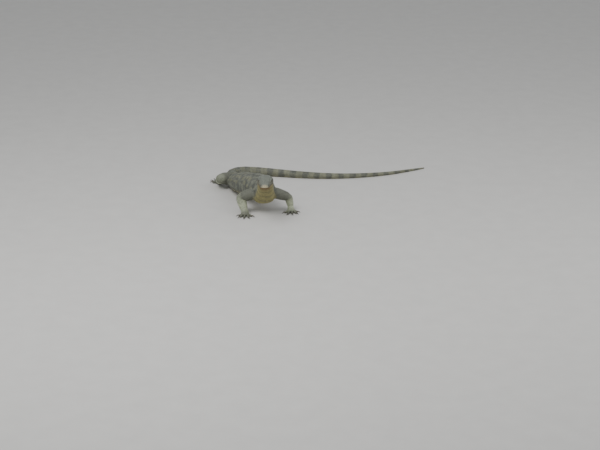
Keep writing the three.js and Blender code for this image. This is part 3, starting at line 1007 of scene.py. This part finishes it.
# %% Nodes that put a bead on every seat
def seating_nodes():
    tree = bpy.data.node_groups.new("seat the beads", "GeometryNodeTree")
    tree.interface.new_socket("Geometry", in_out="INPUT", socket_type="NodeSocketGeometry")
    tree.interface.new_socket("Geometry", in_out="OUTPUT", socket_type="NodeSocketGeometry")
    add, link = tree.nodes.new, tree.links.new
    start, end = add("NodeGroupInput"), add("NodeGroupOutput")
    source = add("GeometryNodeObjectInfo")
    source.inputs["Object"].default_value = bead
    place, real = add("GeometryNodeInstanceOnPoints"), add("GeometryNodeRealizeInstances")
    stored = {}
    for name in ("turned", "sized"):
        node = add("GeometryNodeInputNamedAttribute")
        node.data_type = "FLOAT_VECTOR"
        node.inputs["Name"].default_value = name
        stored[name] = node.outputs["Attribute"]
    turn = add("FunctionNodeEulerToRotation")
    link(stored["turned"], turn.inputs[0])
    link(turn.outputs[0], place.inputs["Rotation"])
    link(stored["sized"], place.inputs["Scale"])
    link(start.outputs[0], place.inputs["Points"])
    link(source.outputs["Geometry"], place.inputs["Instance"])
    link(place.outputs["Instances"], real.inputs[0])
    link(real.outputs[0], end.inputs[0])
    return tree


SEATING = seating_nodes()
print("nodes that seat a bead:", len(SEATING.nodes))

# %% A piece of scales
BEAD_LONG = 0.56
BEAD_WIDE = 0.54
BEAD_STEEPEST = 0.22
BEAD_UNEVEN = (0.8, 1.15)
PATCH = 0.0015


def turned_to(along, normal):
    """The turns about x, y and z that lay a bead along a direction on a slope."""
    across = np.cross(normal, along)
    pitch = np.arcsin(np.clip(-along[:, 2], -1, 1))
    return np.stack(
        [np.arctan2(across[:, 2], normal[:, 2]), pitch, np.arctan2(along[:, 1], along[:, 0])], axis=1
    )


def lay_out(obj, layout):
    """Make each bead a small patch of the flat layout, at its seat's place there."""
    seats = np.repeat(layout, len(bead_places), axis=0)
    patch = seats + np.tile(bead_places[:, :2], (len(layout), 1)) * PATCH
    corner = np.empty(len(obj.data.loops), dtype=int)
    obj.data.loops.foreach_get("vertex_index", corner)
    uv = obj.data.uv_layers.new(name="OFBake")
    uv.data.foreach_set("uv", patch[corner].astype(np.float32).ravel())


def beads(name, batches, height):
    """One piece of scales on all seats of the batches."""
    spot, along, normal, long, wide, layout = (np.concatenate(part) for part in zip(*batches))
    along = unit(along - normal * np.sum(along * normal, axis=1, keepdims=True))
    count = len(spot)
    tall = np.minimum(height * MM, BEAD_STEEPEST * wide) * lot.uniform(*BEAD_UNEVEN, count)
    sized = np.stack([long * BEAD_LONG, wide * BEAD_WIDE, tall], axis=1)
    vectors = {"turned": turned_to(along, normal), "sized": sized}
    carrier = bpy.data.meshes.new(name)
    carrier.vertices.add(count)
    set_places(carrier, spot)
    for key, values in vectors.items():
        made = carrier.attributes.new(key, "FLOAT_VECTOR", "POINT")
        made.data.foreach_set("vector", values.astype(np.float32).ravel())
    write_numbers(carrier, marks_for(spot))
    write_numbers(carrier, {"tone": lot.uniform(0, 1, count)})
    obj = bpy.data.objects.new(name, carrier)
    bpy.context.scene.collection.objects.link(obj)
    obj.modifiers.new("seat", "NODES").node_group = SEATING
    apply_modifiers(obj)
    for key in vectors:
        if key in obj.data.attributes:
            obj.data.attributes.remove(obj.data.attributes[key])
    obj.data.shade_smooth()
    lay_out(obj, layout)
    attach(obj, "root")
    print(name, "has", count, "scales and", len(obj.data.polygons), "triangles")
    return obj


# %% Rings down the body
# Length and width of a scale in mm at distances down the body in metres.
DOWN = [0.0, 0.1, 0.2, 0.34, 0.6, 0.9, 1.5]
LONG = (1.5, 2.1, 2.5, 3.1, 3.1, 3.4, 2.0)
WIDE = (1.5, 1.9, 2.2, 2.6, 2.6, 2.4, 1.3)
# Where the rings of each piece start and end.
HEAD_RINGS = (0.0047, 0.112)
TRUNK_RINGS = (0.1125, 0.62)
TAIL_RINGS = (0.6225, TOTAL - 0.004)
# Left, bottom, width and height of a whole body on the flat layout, so that the piece's own rings fill it.
HEAD_TILE = (0.0, 0.0, TOTAL / 0.112, 0.9)
TRUNK_TILE = (-0.22, 0.0, TOTAL / 0.51, 1.0)
TAIL_TILE = (-0.67, 0.0, TOTAL / 0.93, 1.0)


def body_form(share, c, s):
    return body_surface(np.interp(share * TOTAL, FINE_DOWN, FINE_AT), c, s)


def size_down(down, values):
    return float(np.interp(down, DOWN, values)) * MM


def rows_between(start, stop):
    """Places down the body in metres for one ring after another."""
    rows = [start]
    while rows[-1] < stop:
        rows.append(rows[-1] + size_down(rows[-1], LONG))
    return np.array(rows)


def body_rings(rows, tile):
    return ring_seats(body_form, rows / TOTAL, lambda share: size_down(share * TOTAL, WIDE), tile)


print("rings on the neck and trunk:", len(rows_between(*TRUNK_RINGS)))

# %% Seats on the lips
LIP_STEP = 3.1
LIP_NARROW = 0.92
LIP_OUT = 1.2
LIP_SHELVES = {1: 0.97, -1: 0.95}


def lip_seats(up, shelf):
    route = round_the_snout(up, -LIP_OUT)
    steps = np.concatenate([[0], np.cumsum(np.linalg.norm(np.diff(route, axis=0), axis=1))])
    at = np.interp(np.arange(1.5, steps[-1] / MM - 1, LIP_STEP) * MM, steps, np.arange(len(route)))
    ahead = unit(spline(route, at + 0.05) - spline(route, at - 0.05))
    outward = unit(np.cross([0, 0, 1], ahead))
    layout = np.stack([np.linspace(0.02, 0.98, len(at)), np.full(len(at), shelf)], axis=1)
    full = np.full(len(at), LIP_STEP * MM)
    return settle((spline(route, at), ahead, outward, full, full * LIP_NARROW, layout), None, 0)


head_batches = [lip_seats(sign * LIP["up"], shelf) for sign, shelf in LIP_SHELVES.items()]
lip_tree = tree_of(np.concatenate([batch[0] for batch in head_batches]))
print("scales on the lips:", sum(len(batch[0]) for batch in head_batches))

# %% Scales of the head and lids
LIP_FREE = 1.9 * MM
LID_SCALE = 1.25 * MM
LID_FREE = 0.7 * MM
LID_ROWS = (0.44, 0.82, 9)
# Over the round of the snout the rings lie closer together, counted down the body.
snout_rows = 0.0001 * np.arange(1, 6.3) ** 2
head_rows = np.concatenate([snout_rows, rows_between(*HEAD_RINGS)])
head_batches.append(settle(body_rings(head_rows, HEAD_TILE), lip_tree, LIP_FREE))
for side, eye in EYES.items():
    gaze, ahead, above = eye_axes(side)
    lid = ball_place(eye, [(EYE_RADIUS + LID["thick"]) * MM] * 3, [ahead, above, gaze])
    tile = (0.0, 0.91 + 0.01 * side, 1.0, 0.015)
    rings = ring_seats(lid, np.linspace(*LID_ROWS), lambda share: LID_SCALE, tile)
    head_batches.append(settle(rings, tree_of(head_batches[-1][0]), LID_FREE))
scale_pieces = [beads("scales_head", head_batches, height=0.34)]

# %% Scales of the neck, trunk and tail
trunk_seats = settle(body_rings(rows_between(*TRUNK_RINGS), TRUNK_TILE), None, 0)
scale_pieces.append(beads("scales_trunk", [trunk_seats], height=0.5))
tail_seats = settle(body_rings(rows_between(*TAIL_RINGS), TAIL_TILE), None, 0)
scale_pieces.append(beads("scales_tail", [tail_seats], height=0.5))

# %% Scales of the legs and toes
LIMB_SCALE = (2.45, 2.15)
TOE_SCALE = (1.8, 1.8)
LIMB_ENDS = (0.04, 0.97)
LEG_FREE = 0.6


def leg_tile(number):
    """A form's patch on the flat layout: limbs in a grid of four by four, toes in a strip above."""
    if number < len(limb_forms):
        return 0.25 * (number % 4), 0.25 * (number // 4), 0.24, 0.24
    return 0.05 * (number - len(limb_forms)), 0.77, 0.045, 0.22


taken_places = [trunk_seats[0], tail_seats[0]]
leg_batches = []
for number, (kind, place) in enumerate(limb_forms + toe_forms):
    line = place(np.linspace(0, 1, 20), np.zeros(20), np.ones(20) * 0.01)
    long = float(np.sum(np.linalg.norm(np.diff(line, axis=0), axis=1)))
    every, across = (size * MM for size in (TOE_SCALE if kind == "toe" else LIMB_SCALE))
    rows = np.linspace(*LIMB_ENDS, int(long / every))
    seats = ring_seats(place, rows, lambda share: across, leg_tile(number))
    settled = settle(seats, tree_of(np.concatenate(taken_places)), every * LEG_FREE)
    if settled is not None:
        leg_batches.append(settled)
        taken_places.append(settled[0])
scale_pieces.append(beads("scales_legs", leg_batches, height=0.42))
bpy.data.objects.remove(bead)

# %% [markdown]
# ## Claws
# A claw is curved horn, thin from side to side, and grows out of the end of its toe. A cone would be
# straight, so each claw is a tapered tube on a bent line. All twenty are one piece, because they share one
# finish.

# %% Claws
# A claw arches up over its first third, is down again at three quarters, and ends just over the floor.
CLAW = {
    "long": 13, "radius": 2.7, "tip": 0.4, "rise": 1.6, "inside": 4, "thin": 0.72,
    "arch": 0.35, "down": 0.75, "taper": 1.3, "off floor": 0.5,
}
claw_bm = bmesh.new()
claw_ends = []


def claw_size(share):
    size = mix(CLAW["radius"], CLAW["tip"], share ** CLAW["taper"]) * MM
    return size * CLAW["thin"], size


for root, towards, long in digit_lines():
    low = TOE["radius"] - PRESS
    claw_line = [
        along_floor(root, towards, long - CLAW["inside"], low),
        along_floor(root, towards, long + CLAW["long"] * CLAW["arch"], low + CLAW["rise"]),
        along_floor(root, towards, long + CLAW["long"] * CLAW["down"], low),
        along_floor(root, towards, long + CLAW["long"], CLAW["tip"] + CLAW["off floor"]),
    ]
    roll_form(claw_bm, "claw", tube_place("claw", claw_line, claw_size))
    claw_ends.append(claw_line[3])
bmesh.ops.recalc_face_normals(claw_bm, faces=claw_bm.faces)
claws = finish_mesh(claw_bm, "claws")
claws.data.shade_smooth()
tips = tree_of(claw_ends)
from_tip = np.array([tips.find(p)[2] for p in places_of(claws.data)])
write_numbers(claws.data, {"tip": np.clip(1 - from_tip / (CLAW["long"] * MM), 0, 1)})
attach(claws, "root")
print("claws have", len(claws.data.polygons), "faces")

# %% [markdown]
# ## Eyes
# A museum sets glass balls as large as the real ones behind the lids. The iris could be a disc under a clear
# cornea, but at this size one ball with the iris drawn on it looks the same, and its cornea bulges a little
# to catch the light.

# %% Eyes
CORNEA_FROM = 0.72
CORNEA_BULGE = 0.35
eyeballs = []
for side, eye in EYES.items():
    ball = bmesh.new()
    bmesh.ops.create_uvsphere(ball, u_segments=64, v_segments=48, radius=EYE_RADIUS * MM)
    local = np.array([v.co for v in ball.verts])
    front = np.clip((local[:, 2] / (EYE_RADIUS * MM) - CORNEA_FROM) / (1 - CORNEA_FROM), 0, 1)
    local[:, 2] += CORNEA_BULGE * MM * front * front * (3 - 2 * front)
    gaze, ahead, above = eye_axes(side)
    for v, p in zip(ball.verts, eye + local @ np.array([ahead, above, gaze])):
        v.co = p
    bmesh.ops.recalc_face_normals(ball, faces=ball.faces)
    eyeball = finish_mesh(ball, "eyeball_right" if side < 0 else "eyeball_left")
    eyeball.data.shade_smooth()
    iris = local / (EYE_RADIUS * MM)
    write_numbers(eyeball.data, {"iris_x": iris[:, 0], "iris_y": iris[:, 1]})
    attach(eyeball, "root")
    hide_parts("eye_right" if side < 0 else "eye_left")
    eyeballs.append(eyeball)
print("eyeballs:", len(eyeballs))

# %% [markdown]
# ## Finishes
# The photographed animal is dusty grey-green, bluish on top of the head and ochre under the throat, with a
# mottled back and paler forearms. A painted highlight sits on the tip of the snout, painted shade in warm
# brown lies under the head, chin and snout, and the openings are painted near-black with shade. Noise alone
# would scatter such marks anywhere, so every finish is drawn by nodes from the numbers written on the mesh,
# and each mark lies where it belongs on the animal.


# %% A helper for finishes
class Finish:
    """A material whose nodes are added one call at a time."""

    def __init__(self, name, **sockets):
        self.made = bpy.data.materials.new(name)
        self.made.use_nodes = True
        self.tree = self.made.node_tree
        self.shader = self.tree.nodes["Principled BSDF"]
        for socket, value in sockets.items():
            self.shader.inputs[socket.replace("_", " ")].default_value = value

    def put(self, socket, value):
        if isinstance(value, bpy.types.NodeSocket):
            self.tree.links.new(value, socket)
        elif isinstance(value, tuple) and len(value) == 3 and socket.type == "RGBA":
            socket.default_value = (*value, 1)
        else:
            socket.default_value = value

    def number(self, name):
        node = self.tree.nodes.new("ShaderNodeAttribute")
        node.attribute_name = name
        return node.outputs["Fac"]

    def math(self, operation, a, b=0.0):
        node = self.tree.nodes.new("ShaderNodeMath")
        node.operation = operation
        self.put(node.inputs[0], a)
        self.put(node.inputs[1], b)
        return node.outputs[0]

    def times(self, a, *others):
        for other in others:
            a = self.math("MULTIPLY", a, other)
        return a

    def step(self, value, low, high):
        """A soft step from 0 at low to 1 at high; low may be the larger one."""
        node = self.tree.nodes.new("ShaderNodeMapRange")
        node.interpolation_type = "SMOOTHSTEP"
        self.put(node.inputs["Value"], value)
        node.inputs["From Min"].default_value = low
        node.inputs["From Max"].default_value = high
        return node.outputs[0]

    def between(self, value, low, high, soft):
        rise = self.step(value, low - soft / 2, low + soft / 2)
        fall = self.step(value, high + soft / 2, high - soft / 2)
        return self.times(rise, fall)

    def vector(self, x, y, z=0.0):
        node = self.tree.nodes.new("ShaderNodeCombineXYZ")
        for socket, value in zip(node.inputs, (x, y, z)):
            self.put(socket, value)
        return node.outputs[0]

    def texture(self, kind, output, vector, **values):
        node = self.tree.nodes.new(kind)
        place = vector or self.tree.nodes.new("ShaderNodeTexCoord").outputs["Object"]
        self.put(node.inputs["Vector"], place)
        for socket, value in values.items():
            node.inputs[socket].default_value = value
        return node.outputs[output]

    def noise(self, scale, detail=3.0, vector=None):
        return self.texture("ShaderNodeTexNoise", "Fac", vector, Scale=scale, Detail=detail)

    def cells(self, scale, randomness=1.0, vector=None):
        return self.texture("ShaderNodeTexVoronoi", "Distance", vector, Scale=scale, Randomness=randomness)

    def blend(self, share, a, b, mode="MIX"):
        node = self.tree.nodes.new("ShaderNodeMix")
        node.data_type = "RGBA"
        node.blend_type = mode
        self.put(node.inputs[0], share)
        self.put(node.inputs[6], a)
        self.put(node.inputs[7], b)
        return node.outputs[2]

    def bump(self, height, strength, distance):
        node = self.tree.nodes.new("ShaderNodeBump")
        self.put(node.inputs["Height"], height)
        node.inputs["Strength"].default_value = strength
        node.inputs["Distance"].default_value = distance
        self.put(self.shader.inputs["Normal"], node.outputs[0])

    def colour(self, value):
        self.put(self.shader.inputs["Base Color"], value)


def dress(obj, finish):
    """Give the whole piece one material."""
    obj.data.materials.clear()
    obj.data.materials.append(finish.made)
    obj.data.polygons.foreach_set("material_index", np.zeros(len(obj.data.polygons), dtype=np.int32))


# %% Tints and places of the marks
TINTS = {
    "back dark": (0.085, 0.092, 0.078),
    "back pale": (0.185, 0.195, 0.155),
    "ring": (0.33, 0.32, 0.18),
    "belly": (0.40, 0.37, 0.23),
    "belly bar": (0.12, 0.12, 0.095),
    "tail dark": (0.075, 0.08, 0.068),
    "tail pale": (0.26, 0.26, 0.17),
    "head top": (0.203, 0.222, 0.188),
    "head side": (0.19, 0.19, 0.14),
    # A painted highlight on the tip of the snout.
    "snout": (0.50, 0.44, 0.28),
    # Painted shade, in warm brown, under the head and on the chin.
    "painted jaw shade": (0.205, 0.14, 0.05),
    # Painted shade under the tip of the snout.
    "lip": (0.165, 0.09, 0.03),
    "throat": (0.30, 0.272, 0.12),
    "throat bar": (0.15, 0.14, 0.075),
    "streak": (0.05, 0.052, 0.045),
    "leg": (0.145, 0.152, 0.12),
    "forearm": (0.47, 0.515, 0.365),
    "leg dark": (0.085, 0.09, 0.072),
    "between scales": (0.065, 0.063, 0.05),
    # Painted shade, near-black, inside the mouth line, nostrils, ears and behind the lids.
    "inside": (0.012, 0.009, 0.008),
}
# The jaw, chin and lip marks are painted shade under the head and the snout; the snout mark is a painted
# highlight.
# Where a mark starts and is full, in metres down the body.
DOWN_STEPS = {
    "tail": (0.64, 0.76), "neck narrows": (0.14, 0.25), "front": (0.27, 0.2), "head": (0.13, 0.095),
    "painted chin shade": (0.155, 0.105), "lip": (0.06, 0.02), "snout": (0.0095, 0.0015),
}
# The same as shares of the way up from the belly's midline to the back's.
UP_STEPS = {
    "ring": (0.42, 0.62), "belly": (0.46, 0.26), "front": (0.55, 0.4), "head top": (0.62, 0.72),
    "painted jaw shade": (0.5, 0.42), "head": (0.3, 0.4), "painted chin shade": (0.32, 0.14), "lip": (0.53, 0.47), "snout": (0.49, 0.56),
}
STRENGTH = {
    "ring": 0.4, "belly bar": 0.7, "tail": 0.45, "throat bar": 0.55, "dark scales": 0.3, "streak": 0.75,
    "painted chin shade": 0.7, "lip": 0.75, "snout": 0.85, "speckle": 0.45,
}
# Metres from spot row to spot row, band to band and throat bar to throat bar, and spots from belly to back.
SPOT_ROWS = 0.04
BAND = 0.05
THROAT_BAR = 0.022
SPOTS_ROUND = 5.5
SWAY = 0.02
# From, to and how softly: the streak behind the eye down the body and up the side, the forearm down the leg.
STREAK_DOWN = (0.066, 0.118, 0.02)
STREAK_UP = (0.6, 0.68, 0.07)
FOREARM = (0.075, 0.135, 0.04)
print("tints:", len(TINTS))


# %% Colours of trunk, belly and tail
def waves(f, along, every):
    return f.math("SINE", f.times(along, 2 * math.pi / every))


def trunk_colour(f, down, high, uneven, swayed):
    back = f.blend(f.step(uneven, low=0.38, high=0.66), TINTS["back dark"], TINTS["back pale"])
    spot_rows = f.vector(f.math("DIVIDE", swayed, SPOT_ROWS), f.times(high, SPOTS_ROUND))
    spots = f.cells(scale=1.0, randomness=0.45, vector=spot_rows)
    ring = f.times(f.between(spots, low=0.14, high=0.33, soft=0.12), f.step(high, *UP_STEPS["ring"]))
    back = f.blend(f.times(ring, STRENGTH["ring"]), back, TINTS["ring"])
    wave = waves(f, swayed, BAND)
    bars = f.times(f.step(wave, low=0.1, high=0.7), STRENGTH["belly bar"])
    belly = f.blend(bars, TINTS["belly"], TINTS["belly bar"])
    under = f.step(f.math("ADD", high, f.times(uneven, 0.16)), *UP_STEPS["belly"])
    tail = f.blend(f.step(wave, low=-0.3, high=0.35), TINTS["tail pale"], TINTS["tail dark"])
    on_tail = f.times(f.step(down, *DOWN_STEPS["tail"]), STRENGTH["tail"])
    return f.blend(on_tail, f.blend(under, back, belly), tail)


# %% Colours of throat and head
def throat_over(f, colour, down, high, swayed):
    bars = f.times(f.step(waves(f, swayed, THROAT_BAR), low=0.0, high=0.8), STRENGTH["throat bar"])
    throat = f.blend(bars, TINTS["throat"], TINTS["throat bar"])
    narrowed = f.math("ADD", high, f.times(f.step(down, *DOWN_STEPS["neck narrows"]), 0.2))
    front = f.times(f.step(down, *DOWN_STEPS["front"]), f.step(narrowed, *UP_STEPS["front"]))
    return f.blend(front, colour, throat)


def head_over(f, colour, down, high):
    side = f.blend(f.step(high, *UP_STEPS["head top"]), TINTS["head side"], TINTS["head top"])
    # Below the middle of its side the head is painted with warm brown shade.
    side = f.blend(f.step(high, *UP_STEPS["painted jaw shade"]), side, TINTS["painted jaw shade"])
    dark = f.times(f.step(f.cells(scale=150.0), low=0.2, high=0.45), STRENGTH["dark scales"])
    side = f.blend(dark, side, TINTS["back dark"])
    on_head = f.times(f.step(down, *DOWN_STEPS["head"]), f.step(high, *UP_STEPS["head"]))
    colour = f.blend(on_head, colour, side)
    behind_eye = f.times(f.between(down, *STREAK_DOWN), f.between(high, *STREAK_UP))
    colour = f.blend(f.times(behind_eye, STRENGTH["streak"]), colour, TINTS["streak"])
    # Painted shade under the chin and under the tip of the snout, then a painted highlight on the snout's
    # tip.
    for mark, tint in (("painted chin shade", "painted jaw shade"), ("lip", "lip"), ("snout", "snout")):
        share = f.times(f.step(down, *DOWN_STEPS[mark]), f.step(high, *UP_STEPS[mark]), STRENGTH[mark])
        colour = f.blend(share, colour, TINTS[tint])
    return colour


# %% Colours of the legs, and of the whole animal
def leg_colour(f, leg, uneven):
    pale = f.blend(f.between(leg, *FOREARM), TINTS["leg"], TINTS["forearm"])
    speckle = f.times(f.step(f.cells(scale=105.0), low=0.62, high=0.4), f.step(uneven, low=0.4, high=0.6))
    return f.blend(f.times(speckle, STRENGTH["speckle"]), pale, TINTS["leg dark"])


def animal_colour(f):
    """The colour of skin or scale from the numbers written on the mesh."""
    down, high, limb, leg = (f.number(n) for n in ("down", "high", "limb", "leg"))
    uneven = f.noise(scale=55.0, detail=4.0)
    swayed = f.math("ADD", down, f.times(uneven, SWAY))
    colour = trunk_colour(f, down, high, uneven, swayed)
    colour = throat_over(f, colour, down, high, swayed)
    colour = head_over(f, colour, down, high)
    return f.blend(limb, colour, leg_colour(f, leg, uneven))


# %% Skin between the scales, and scales
bare = Finish("bare skin", Roughness=0.75)
dulled = bare.blend(0.4, animal_colour(bare), TINTS["between scales"])
# Inside the openings the skin is painted near-black with shade.
bare.colour(bare.blend(bare.number("inside"), dulled, TINTS["inside"]))
bare.bump(bare.cells(scale=1100.0), strength=0.35, distance=0.0004)
dress(skin, bare)

# Between these factors each scale is darker or paler than its place.
DARKEST = (0.78, 0.78, 0.78)
PALEST = (1.22, 1.2, 1.14)
scaly = Finish("scales", Roughness=0.5, Specular_IOR_Level=0.4)
shade = scaly.blend(scaly.number("tone"), DARKEST, PALEST)
scaly.colour(scaly.blend(1.0, animal_colour(scaly), shade, "MULTIPLY"))
worn = scaly.noise(scale=900.0, detail=4.0)
scaly.put(scaly.shader.inputs["Roughness"], scaly.math("ADD", scaly.times(worn, 0.35), 0.34))
scaly.bump(worn, strength=0.3, distance=0.0003)
for piece in scale_pieces:
    dress(piece, scaly)
print("nodes that colour a scale:", len(scaly.tree.nodes))

# %% Horn
HORN_DARK = (0.05, 0.042, 0.034)
HORN_PALE = (0.15, 0.13, 0.10)
HORN_TIP = (0.018, 0.015, 0.013)
horn = Finish("claw horn", Roughness=0.32)
fibres = horn.noise(scale=300.0, detail=5.0)
base = horn.blend(fibres, HORN_DARK, HORN_PALE)
horn.colour(horn.blend(horn.step(horn.number("tip"), low=0.2, high=0.9), base, HORN_TIP))
horn.bump(fibres, strength=0.25, distance=0.0002)
dress(claws, horn)
print("horn dresses:", claws.name)

# %% Glass
# The iris is brown with fine spokes, a pale ring round the pupil and a dark rim. Reach runs from 0 in the
# middle of the pupil to 1 at the edge of the ball.
IRIS_DARK = (0.035, 0.018, 0.009)
IRIS_PALE = (0.10, 0.055, 0.022)
IRIS_RING = (0.24, 0.15, 0.05)
PUPIL = (0.004, 0.004, 0.004)
IRIS_RIM = (0.02, 0.014, 0.01)
glass = Finish("eye glass", Roughness=0.15, Specular_IOR_Level=0.2, Coat_Weight=0.6, Coat_Roughness=0.02)
x, y = glass.number("iris_x"), glass.number("iris_y")
reach = glass.math("SQRT", glass.math("ADD", glass.times(x, x), glass.times(y, y)))
away = glass.math("ADD", reach, 0.01)
spoke = glass.vector(glass.math("DIVIDE", x, away), glass.math("DIVIDE", y, away), reach)
fibre = glass.noise(scale=9.0, detail=5.0, vector=spoke)
iris = glass.blend(glass.step(fibre, low=0.35, high=0.65), IRIS_DARK, IRIS_PALE)
iris = glass.blend(glass.between(reach, low=0.35, high=0.39, soft=0.04), iris, IRIS_RING)
iris = glass.blend(glass.step(reach, low=0.38, high=0.34), iris, PUPIL)
iris = glass.blend(glass.step(reach, low=0.72, high=0.84), iris, IRIS_RIM)
glass.colour(iris)
for eyeball in eyeballs:
    dress(eyeball, glass)
print("materials:", [m.name for m in bpy.data.materials])

# %% [markdown]
# ## Camera, floor and light
# The photograph looks at the animal from the front and a little above through a long lens. The camera could
# be set by eye, but here it follows from three measures of the picture: its scale, its slope, and the place
# between the eyes. The light is soft daylight from above, a little stronger from the left.

# %% Camera
PICTURE = (600, 450)
PX_PER_M = 260.0
ELEVATION = math.radians(20)
DISTANCE = 6.0
EYES_PX = (265.0, 180.5)
SENSOR = 36
camera = bpy.data.objects.new("camera", bpy.data.cameras.new("camera"))
bpy.context.scene.collection.objects.link(camera)
camera.data.sensor_width = SENSOR
camera.data.lens = SENSOR * PX_PER_M * DISTANCE / PICTURE[0]
view_dir = Vector((0, math.cos(ELEVATION), -math.sin(ELEVATION)))
view_up = Vector((0, math.sin(ELEVATION), math.cos(ELEVATION)))
aim = eye_middle.copy()
aim.x += (PICTURE[0] / 2 - EYES_PX[0]) / PX_PER_M
aim += view_up * ((EYES_PX[1] - PICTURE[1] / 2) / PX_PER_M)
camera.location = aim - view_dir * DISTANCE
camera.rotation_euler = view_dir.to_track_quat("-Z", "Y").to_euler()
camera.data.clip_end = 100
bpy.context.scene.camera = camera
print("lens:", round(camera.data.lens), "mm")

# %% Floor
FLOOR_GAP = 0.0005
floor_bm = bmesh.new()
bmesh.ops.create_grid(floor_bm, x_segments=8, y_segments=8, size=8)
floor = finish_mesh(floor_bm, "floor")
floor.location.z = -FLOOR_GAP
FLOOR_DARK = (0.58, 0.57, 0.545)
FLOOR_PALE = (0.66, 0.65, 0.62)
ground = Finish("pale floor", Roughness=0.85)
ground.colour(ground.blend(ground.noise(scale=14.0, detail=6.0), FLOOR_DARK, FLOOR_PALE))
ground.bump(ground.noise(scale=180.0, detail=4.0), strength=0.08, distance=0.001)
dress(floor, ground)
print("the floor is", round(floor.dimensions.x), "m wide")

# %% Light
SKY = (0.9, 0.92, 0.95, 1)
SKY_STRENGTH = 0.55
LIT_PLACE = Vector((0, 0, 0.05))
world = bpy.data.worlds.new("studio")
bpy.context.scene.world = world
world.use_nodes = True
world.node_tree.nodes["Background"].inputs["Color"].default_value = SKY
world.node_tree.nodes["Background"].inputs["Strength"].default_value = SKY_STRENGTH


def soft_light(name, place, size, energy):
    light = bpy.data.objects.new(name, bpy.data.lights.new(name, "AREA"))
    bpy.context.scene.collection.objects.link(light)
    light.data.size = size
    light.data.energy = energy
    light.location = place
    light.rotation_euler = (LIT_PLACE - Vector(place)).to_track_quat("-Z", "Y").to_euler()


soft_light("key", place=(-1.2, -1.6, 2.6), size=1.6, energy=60)
soft_light("fill", place=(2.0, -1.0, 1.8), size=2.0, energy=20)
print("lights:", [light.name for light in bpy.data.lights])
